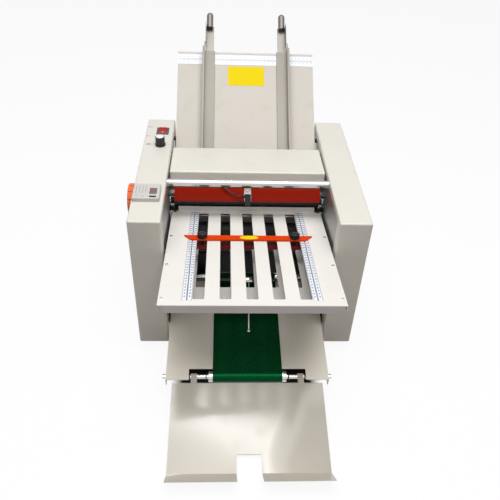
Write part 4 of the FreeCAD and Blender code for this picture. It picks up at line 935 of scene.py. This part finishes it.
@dataclass
class Casings(Assembly):
    """The two tall casings and the rear cover, with the screws at their backs."""

    looks = (Look("left_casing", Finish.CASING, 0.25), Look("right_casing", Finish.CASING, 0.25),
             Look("rear_cover", Finish.CASING, 0.3), Look("rubber_feet", Finish.RUBBER, 0.8, 3),
             Look("power_inlet", Finish.BLACK, 0.3))
    depth: float = 442.0
    height: float = 348.0
    middle: float = 212.75
    screw_inset: float = 22.0
    screw_size: Span = (3.4, 1.6)
    inlet_z: float = 70.0
    inlet_flange: float = 2.0
    inlet_screw_x: float = 19.5
    inlet_screw_size: Span = (2.4, 1.0)

    def details(self, shop: Workshop) -> None:
        """Four screws in each back wall, and the two that hold the mains inlet."""
        corners = [(side * self.middle + offset, self.depth, z) for side in SIDES
                   for offset in (-self.screw_inset, self.screw_inset)
                   for z in (self.screw_inset, self.height - self.screw_inset)]
        shop.screws(("casing_screws", "casing_screw_crosses"), "left_casing", corners, BACK,
                    self.screw_size)
        beside = [(-self.middle + side * self.inlet_screw_x, self.depth + self.inlet_flange,
                   self.inlet_z) for side in SIDES]
        shop.screws(("inlet_screws", "inlet_screw_crosses"), "power_inlet", beside, BACK,
                    self.inlet_screw_size)


@dataclass
class Ruler:
    """A printed rule: ticks along both edges, two rows of centimetre numbers, and middle lines.

    A turned rule runs along X, and any other along its plane's t.
    """

    plane: Plane
    edges: Span
    ends: Span
    row: float
    zero: float = 0.0
    turned: bool = False
    low: float = 0.6
    thick: float = 0.05
    margin: float = 0.3
    tick: float = 1.2
    middle_tick: float = 1.9
    long_tick: float = 1.9
    thin: float = 0.4
    bold: float = 0.8
    tick_inset: float = 1.0
    number_height: float = 5.4
    number_bold: float = 0.3
    number_inset: float = 4.0
    line_half: float = 1.25
    line_inset: float = 0.5
    line_offsets: tuple[float, ...] = (0.0,)

    def bar(self, ink: Shape, across: Span, along: Span) -> None:
        """Prints one small bar.

        Args:
            ink: the shape that takes the print.
            across: its ends across the rule.
            along: its ends along the rule.
        """
        (x0, x1), (t0, t1) = (along, across) if self.turned else (across, along)
        ink.block((x0, t0, self.low), (x1, t1, self.low + self.thick), self.plane)

    def steps(self, inset: float, pitch: int) -> range:
        """The marks that lie between the rule's ends.

        Args:
            inset: how far the marks stay off the ends.
            pitch: the millimetres from one mark to the next.

        Returns:
            The marks' numbers, counted from zero's place.
        """
        first = math.ceil((self.ends[0] - self.zero + inset) / pitch)
        last = math.floor((self.ends[1] - self.zero - inset) / pitch)
        return range(first, last + 1)

    def ticks(self, ink: Shape) -> None:
        """Prints the ticks of both edges, longer at each half and whole centimetre."""
        low, high = self.edges[0] + self.margin, self.edges[1] - self.margin
        for step in self.steps(self.tick_inset, 1):
            reach, thick = self.tick, self.thin
            if step % 5 == 0:
                reach, thick = self.long_tick if step % 10 == 0 else self.middle_tick, self.bold
            along = (self.zero + step - thick / 2, self.zero + step + thick / 2)
            self.bar(ink, (low, low + reach), along)
            self.bar(ink, (high - reach, high), along)

    def numbers(self, ink: Shape) -> None:
        """Prints the centimetre numbers in two rows."""
        turn = self.plane.value.matrix().to_3x3()
        for step in self.steps(self.number_inset, 10):
            for row in (self.edges[0] + self.row, self.edges[1] - self.row):
                along = self.zero + step * 10
                place = (along, row) if self.turned else (row, along)
                spot = self.plane.value.at(*place, self.low + self.thick / 2)
                ink.words(str(abs(step)), self.number_height, spot, turn, self.thick,
                          self.number_bold)

    def lines(self, ink: Shape) -> None:
        """Prints the lines that run along the middle."""
        for offset in self.line_offsets:
            middle = self.edges[0] + (self.edges[1] - self.edges[0]) / 2 + offset
            self.bar(ink, (middle - self.line_half, middle + self.line_half),
                     (self.ends[0] + self.line_inset, self.ends[1] - self.line_inset))


@dataclass
class UpperFoldPlate(Assembly):
    """The slotted fold plate with its rules, screws and front bar, and the second fold plate."""

    looks = (Look("fold_plate_sheet", Finish.PLATE, 0.3),
             Look("fold_plate_back_sheet", Finish.STEEL, 0.2),
             Look("fold_plate_front_bar", Finish.BAR, 0.8, 3),
             Look("lower_slatted_sheet", Finish.PLATE, 0.3),
             Look("lower_fold_plate", Finish.PLATE, 0.3),
             Look("plate_screws", Finish.TURNED_STEEL, 0.0), Look("rulers", Finish.RULE, 0.1))
    rule_inner: float = 111.0
    rule_width: float = 20.0
    rule_ends: Span = (15.0, 373.0)
    rule_zero: float = 8.0
    rule_row: float = 5.0
    screw_x: float = 167.5
    screw_first: float = 22.0
    screw_last: float = 370.5
    screw_count: int = 4
    cross_arms: tuple[Span, ...] = ((1.7, 0.35), (0.35, 1.7))
    cross_n: Span = (1.2, 1.45)

    def details(self, shop: Workshop) -> None:
        """Makes the recesses in the plate's screws and the print on its rules."""
        self.screw_crosses(shop)
        self.rules(shop)

    def screw_crosses(self, shop: Workshop) -> None:
        """The cross recess in each screw of the plate's edges, in a darker steel than the heads as
        painted shade.
        """
        shape = Shape()
        pitch = (self.screw_last - self.screw_first) / (self.screw_count - 1)
        low, high = self.cross_n
        for side in SIDES:
            for i in range(self.screw_count):
                x, t = side * self.screw_x, self.screw_first + pitch * i
                for dx, dt in self.cross_arms:
                    shape.block((x - dx, t - dt, low), (x + dx, t + dt, high), Plane.UPPER_PLATE)
        shop.piece(shape, "plate_screw_crosses", Finish.STEEL, "plate_screws")

    def rules(self, shop: Workshop) -> None:
        """The print on the two rules beside the slots."""
        ticks, lines = Shape(), Shape()
        for inner in (self.rule_inner, -self.rule_inner - self.rule_width):
            rule = Ruler(Plane.UPPER_PLATE, (inner, inner + self.rule_width), self.rule_ends,
                         self.rule_row, self.rule_zero)
            rule.ticks(ticks)
            rule.numbers(ticks)
            rule.lines(lines)
        shop.piece(ticks, "plate_rule_print", Finish.INK, "rulers")
        shop.piece(lines, "plate_rule_lines", Finish.BLUE_INK, "rulers")


PARTING_N = -9.0


def over_plate(point: Vector) -> bool:
    """Whether a point of the upper stop belongs to its orange bar or the bar's tabs."""
    return (Plane.UPPER_PLATE.value.matrix().inverted() @ point).z > PARTING_N


def under_plate(point: Vector) -> bool:
    """Whether a point of the upper stop belongs to its counter bar."""
    return not over_plate(point)


@dataclass
class StopBars(Assembly):
    """The orange stops, the counter bar, the clamp knobs, the latches and the blank oval label."""

    looks = (Look("stop_bar", Finish.ORANGE, 0.4, 3, over_plate, "stop_bar_upper"),
             # The counter bar's dark red is the orange paint in painted shade.
             Look("stop_bar", Finish.ORANGE_IN_PAINTED_SHADE, 0.4, 2, under_plate, "stop_bar_lower"),
             Look("lower_stop", Finish.ORANGE, 0.4),
             *(Look(side + "_stop_knob", Finish.BLACK, 0.2) for side in ("left", "right", "lower")),
             Look("plate_latches", Finish.BLACK, 0.5, 3))
    middle: float = 244.25
    label_x: float = 1.0
    label_n: float = 3.9
    label_half: Span = (20.0, 8.0)
    label_thick: float = 0.35
    label_edge: float = 0.12
    knob_x: float = 100.0
    cap_foot: float = 14.1
    cap_outline: tuple[Span, ...] = ((0.0, 0.3), (4.5, 0.3), (5.4, 0.9), (6.4, 0.9), (6.9, 0.4),
                                     (6.9, 0.0), (0.0, 0.0))
    latch_screw_size: Span = (2.8, 1.6)
    latch_screw_inset: float = 10.0
    latch_screw_sunk: float = 1.0

    def details(self, shop: Workshop) -> None:
        """Makes the label, the knobs' caps and the latches' screws."""
        self.label(shop)
        self.knob_caps(shop)
        self.latch_screws(shop)

    def label(self, shop: Workshop) -> None:
        """The oval label, left blank."""
        shape = Shape()
        plate = Plane.UPPER_PLATE.value
        place = plate.matrix() @ Matrix.Translation((self.label_x, self.middle, self.label_n))
        bmesh.ops.create_circle(shape.mesh, cap_ends=True, segments=64, radius=1.0,
                                matrix=place @ Matrix.Diagonal((*self.label_half, 1.0, 1.0)))
        grown = bmesh.ops.extrude_face_region(shape.mesh, geom=shape.mesh.faces[:])
        lifted = [item for item in grown["geom"] if isinstance(item, bmesh.types.BMVert)]
        bmesh.ops.translate(shape.mesh, verts=lifted, vec=plate.off() * self.label_thick)
        bmesh.ops.recalc_face_normals(shape.mesh, faces=shape.mesh.faces)
        shop.piece(shape.ease(self.label_edge), "stop_label", Finish.YELLOW, "stop_bar")

    def knob_caps(self, shop: Workshop) -> None:
        """A shallow dished cap in the top of each clamp knob."""
        plate = Plane.UPPER_PLATE.value
        for side, node in zip(SIDES, ("left_stop_knob", "right_stop_knob")):
            shape = Shape()
            shape.turned(self.cap_outline, plate.at(side * self.knob_x, self.middle, self.cap_foot),
                         plate.off())
            shop.piece(shape, node + "_cap", Finish.BLACK_GLOSS, node)

    def latch_screws(self, shop: Workshop) -> None:
        """A bright screw on each latch."""
        low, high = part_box("plate_latches")
        y = ((low.y + high.y) / 2 - CORNER.y) / MM
        z = (high.z - CORNER.z) / MM - self.latch_screw_sunk
        places = [((end.x - CORNER.x) / MM - side * self.latch_screw_inset, y, z)
                  for side, end in zip(SIDES, (low, high))]
        shop.screws(("latch_screws", "latch_screw_crosses"), "plate_latches", places, UP,
                    self.latch_screw_size)


@dataclass
class FeedSide(Assembly):
    """The feed table with its rule and blank plate, the guides, the hood and the chrome bar."""

    # The feed table's darker paint is painted shade.
    looks = (Look("feed_table", Finish.TABLE, 0.4),
             Look("left_guide_rail", Finish.RAIL, 0.4, 3),
             Look("left_guide_extension", Finish.GUIDE_STEEL, 0.3),
             Look("right_guide_rail", Finish.RAIL, 0.4, 3),
             Look("right_guide_extension", Finish.GUIDE_STEEL, 0.3),
             Look("hood", Finish.CASING, 0.3), Look("chrome_bar", Finish.CHROME, 0.6, 3),
             Look("feed_wheel", Finish.GREY_RUBBER, 0.4), Look("separator", Finish.BLACK, 0.4))
    table_half: float = 175.0
    rule_back: float = 261.0
    rule_width: float = 29.0
    rule_row: float = 8.2
    plate_x: Span = (-45.5, 47.7)
    plate_t: Span = (174.0, 228.0)
    plate_thick: float = 0.35
    plate_border: float = 1.6
    # Painted shade: a grey strip along the table's back edge.
    lip_t: Span = (263.5, 268.0)
    shade_strip_thick: float = 0.5
    shade_strip_edge: float = 0.15

    def details(self, shop: Workshop) -> None:
        """Makes what lies on the table."""
        self.rule(shop)
        self.blank_plate(shop)
        self.lip(shop)

    def rule(self, shop: Workshop) -> None:
        """The print on the table's rule, counted from the middle."""
        rule = Ruler(Plane.FEED_TABLE, (self.rule_back - self.rule_width, self.rule_back),
                     (-self.table_half, self.table_half), self.rule_row, turned=True,
                     long_tick=4.5, middle_tick=3.2, tick=2.0, thin=0.2, bold=0.6,
                     line_half=0.4, line_inset=1.0, line_offsets=(-1.3, 1.3))
        ticks, lines = Shape(), Shape()
        rule.ticks(ticks)
        rule.numbers(ticks)
        rule.lines(lines)
        shop.piece(ticks, "table_rule_print", Finish.SOFT_INK, "rulers")
        shop.piece(lines, "table_rule_lines", Finish.BLUE_INK, "rulers")

    def blank_plate(self, shop: Workshop) -> None:
        """The yellow plate on the table, left blank, with a raised border."""
        shape = Shape()
        (x0, x1), (t0, t1) = self.plate_x, self.plate_t
        shape.block((x0, t0, 0.0), (x1, t1, self.plate_thick), Plane.FEED_TABLE)
        off = Plane.FEED_TABLE.value.off()
        top = max(shape.mesh.faces, key=lambda face: off.dot(face.calc_center_median()))
        bmesh.ops.inset_individual(shape.mesh, faces=[top], thickness=self.plate_border,
                                   depth=-self.plate_thick / 3)
        shop.piece(shape.ease(self.plate_thick / 5), "blank_plate", Finish.YELLOW, "feed_table")

    def lip(self, shop: Workshop) -> None:
        """A grey strip along the table's back edge, painted shade where that edge turns down."""
        shape = Shape()
        front, back = self.lip_t
        shape.block((-self.table_half, front, 0.0), (self.table_half, back, self.shade_strip_thick),
                    Plane.FEED_TABLE)
        shop.piece(shape.ease(self.shade_strip_edge), "table_edge_painted_shade", Finish.BAR, "feed_table")


@dataclass
class GuardAndSensor(Assembly):
    """The red guard with the paper sensor and its cable."""

    looks = (Look("red_guard", Finish.RED, 0.35, 3),
             Look("sensor_bracket", Finish.BRIGHT_SHEET, 0.3),
             Look("sensor", Finish.BLACK, 0.3), Look("sensor_cable", Finish.CABLE, 0.0))
    screw_foot: Place = (0.0, 24.5, 1.5)
    screw_size: Span = (2.6, 1.5)
    sleeve_foot: Place = (-6.8, 11.5, 7.0)
    sleeve_length: float = 8.0
    sleeve_radii: Span = (2.6, 1.7)
    sleeve_edge: float = 0.3

    def details(self, shop: Workshop) -> None:
        """The bracket's screw, and the tapered sleeve where the cable leaves the sensor."""
        guard = Plane.GUARD.value
        shop.screws(("bracket_screw", "bracket_screw_cross"), "sensor_bracket",
                    [guard.at(*self.screw_foot)], guard.off(), self.screw_size)
        shape = Shape()
        start = guard.at(*self.sleeve_foot)
        shape.rod(start, start - Vector((self.sleeve_length, 0.0, 0.0)), *self.sleeve_radii, 32)
        shop.piece(shape.ease(self.sleeve_edge), "cable_sleeve", Finish.BLACK, "sensor")


@dataclass
class Delivery(Assembly):
    """The delivery bed, its green belt, the receiving tray and the press rod."""

    # The delivery bed's paler paint is painted light.
    looks = (Look("delivery_table", Finish.BED), Look("receiving_tray", Finish.TRAY),
             Look("delivery_belt", Finish.BELT, 0.3),
             Look("front_belt_roller", Finish.TURNED_STEEL, 0.5, 3),
             Look("rear_belt_roller", Finish.TURNED_STEEL, 0.3),
             Look("press_rod", Finish.CHROME, 0.3))
    shaft_axis: Span = (-123.132, 26.063)
    collar_x: tuple[float, ...] = (88.0, 123.5)
    collar_width: float = 2.0
    collar_radius: float = 7.6
    collar_edge: float = 0.4

    def details(self, shop: Workshop) -> None:
        """Black collars on the front shaft, between the belt and the tray's hooks."""
        shape = Shape()
        for side in SIDES:
            for x in self.collar_x:
                shape.rod((side * x, *self.shaft_axis),
                          (side * (x + self.collar_width), *self.shaft_axis), self.collar_radius)
        shop.piece(shape.ease(self.collar_edge), "shaft_collars", Finish.BLACK, "front_belt_roller")


@dataclass
class Controls(Assembly):
    """The switch, the speed knob with its dial and the counter, all on the left casing's top."""

    looks = (Look("switch_frame", Finish.BLACK_GLOSS, 0.3),
             Look("switch_rocker", Finish.RED_LENS, 0.35, 3),
             Look("speed_knob", Finish.BLACK_GLOSS, 0.15), Look("counter_case", Finish.PALE, 0.2),
             Look("counter_key", Finish.BLACK, 0.3))
    top: float = 348.0
    thick: float = 0.06
    knob: Span = (-205.5, 307.5)
    knob_top: float = 371.1
    cap_outline: tuple[Span, ...] = ((0.0, 0.35), (6.0, 0.45), (8.8, 0.3), (9.2, 0.0), (0.0, 0.0))
    pointer_low: Place = (-0.4, -10.4, -0.7)
    pointer_high: Place = (0.4, -7.6, -0.3)
    pointer_edge: float = 0.1
    dial_marks: int = 11
    dial_start: float = 225.0
    dial_step: float = 27.0
    dial_tick: Span = (2.4, 0.5)
    dial_tick_radius: float = 15.9
    dial_number_radius: float = 20.7
    dial_number_height: float = 4.2
    dial_lift: float = 0.04
    sign_rows: tuple[Place, ...] = ((-235.0, 399.0, 4.0), (-236.0, 352.0, 2.4))
    sign_half: float = 0.7
    block_half: float = 1.9
    block_offset: Span = (3.0, 1.4)
    bar_x: Span = (-239.5, -228.5)
    bar_y: Span = (308.0, 309.4)
    bar_pitch: float = 3.4
    bar_count: int = 3
    rocker_mark: tuple[Place, Place] = ((-206.2, 366.5, 350.4), (-204.6, 371.0, 350.55))
    window: tuple[Place, Place] = ((-208.9, 84.2, 357.0), (-193.7, 106.8, 357.5))
    window_edge: float = 0.2
    digits: tuple[str, ...] = ("0000", "0025")
    digit_place: Place = (-201.3, 100.6, 357.53)
    digit_height: float = 6.2
    digit_pitch: float = 9.6
    counter_top: float = 358.0
    column_count: int = 4
    column_x: float = -237.5
    column_y: Span = (85.0, 116.0)
    column_pitch: float = 6.6
    column_width: float = 1.1
    column_stagger: float = 2.5
    dashes: tuple[Place, ...] = ((-226.0, -218.5, 74.2), (-238.5, -231.0, 78.6))
    dash_width: float = 1.2

    def details(self, shop: Workshop) -> None:
        """Makes the cap, the dial, the marks and the counter's face."""
        self.knob_cap(shop)
        self.dial(shop)
        self.marks(shop)
        self.counter_face(shop)

    def knob_cap(self, shop: Workshop) -> None:
        """The knob's silver cap and its pointer line, whose corners are given from the cap's foot."""
        cap, line = Shape(), Shape()
        foot = (*self.knob, self.knob_top)
        cap.turned(self.cap_outline, foot, UP)
        line.block(*([a + b for a, b in zip(foot, corner)]
                     for corner in (self.pointer_low, self.pointer_high)))
        shop.piece(cap, "knob_cap", Finish.SILVER, "speed_knob")
        shop.piece(line.ease(self.pointer_edge), "knob_pointer", Finish.RULE, "speed_knob")

    def dial(self, shop: Workshop) -> None:
        """Ticks and plain numbers from 0 to 10 round the knob."""
        shape = Shape()
        foot = Vector((*self.knob, self.top + self.dial_lift))
        for step in range(self.dial_marks):
            angle = math.radians(self.dial_start - self.dial_step * step)
            out = Vector((math.cos(angle), math.sin(angle), 0.0))
            place = Matrix.Translation(foot + out * self.dial_tick_radius) \
                @ Matrix.Rotation(angle, 4, "Z") @ Matrix.Diagonal((*self.dial_tick, self.thick, 1.0))
            bmesh.ops.create_cube(shape.mesh, size=1.0, matrix=place)
            shape.words(str(step), self.dial_number_height, foot + out * self.dial_number_radius,
                        Matrix.Identity(3), self.thick)
        shop.piece(shape, "dial_print", Finish.INK, "left_casing")

    def marks(self, shop: Workshop) -> None:
        """Small plain marks beside the controls, and one on the rocker."""
        shape, rocker = Shape(), Shape()
        low, high = self.top, self.top + self.thick
        for x, y, half in self.sign_rows:
            shape.block((x - half, y - self.sign_half, low), (x + half, y + self.sign_half, high))
            near, far = (x - half - offset for offset in self.block_offset)
            shape.block((near, y - self.block_half, low), (far, y + self.block_half, high))
        for row in range(self.bar_count):
            y0, y1 = (y + self.bar_pitch * row for y in self.bar_y)
            shape.block((self.bar_x[0], y0, low), (self.bar_x[1], y1, high))
        rocker.block(*self.rocker_mark)
        shop.piece(shape, "casing_marks", Finish.INK, "left_casing")
        shop.piece(rocker, "rocker_mark", Finish.RULE, "switch_rocker")

    def counter_face(self, shop: Workshop) -> None:
        """The counter's tinted window with plain digits, and its faint printed columns."""
        window, digits, columns = Shape(), Shape(), Shape()
        window.block(*self.window)
        x, y, z = self.digit_place
        for row, text in enumerate(self.digits):
            digits.words(text, self.digit_height, Vector((x, y - self.digit_pitch * row, z)),
                         Matrix.Identity(3), self.thick)
        low, high = self.counter_top, self.counter_top + self.thick
        front, back = self.column_y
        for i in range(self.column_count):
            x = self.column_x + self.column_pitch * i
            columns.block((x, front + self.column_stagger * (i % 2), low),
                          (x + self.column_width, back, high))
        for x0, x1, y in self.dashes:
            columns.block((x0, y, low), (x1, y + self.dash_width, high))
        shop.piece(window.ease(self.window_edge), "counter_window", Finish.WINDOW, "counter_case")
        shop.piece(digits, "counter_digits", Finish.DIGITS, "counter_case")
        shop.piece(columns, "counter_marks", Finish.FADED_INK, "counter_case")


def main() -> None:
    """Builds the studio, then the machine sub-assembly by sub-assembly."""
    logging.basicConfig(level=logging.INFO, format="%(name)s: %(message)s")
    Studio().build()
    shop = Workshop()
    for assembly in (InnerWorks(), Casings(), UpperFoldPlate(), StopBars(), FeedSide(),
                     GuardAndSensor(), Delivery(), Controls()):
        assembly.build(shop)


if __name__ == "__main__":
    main()
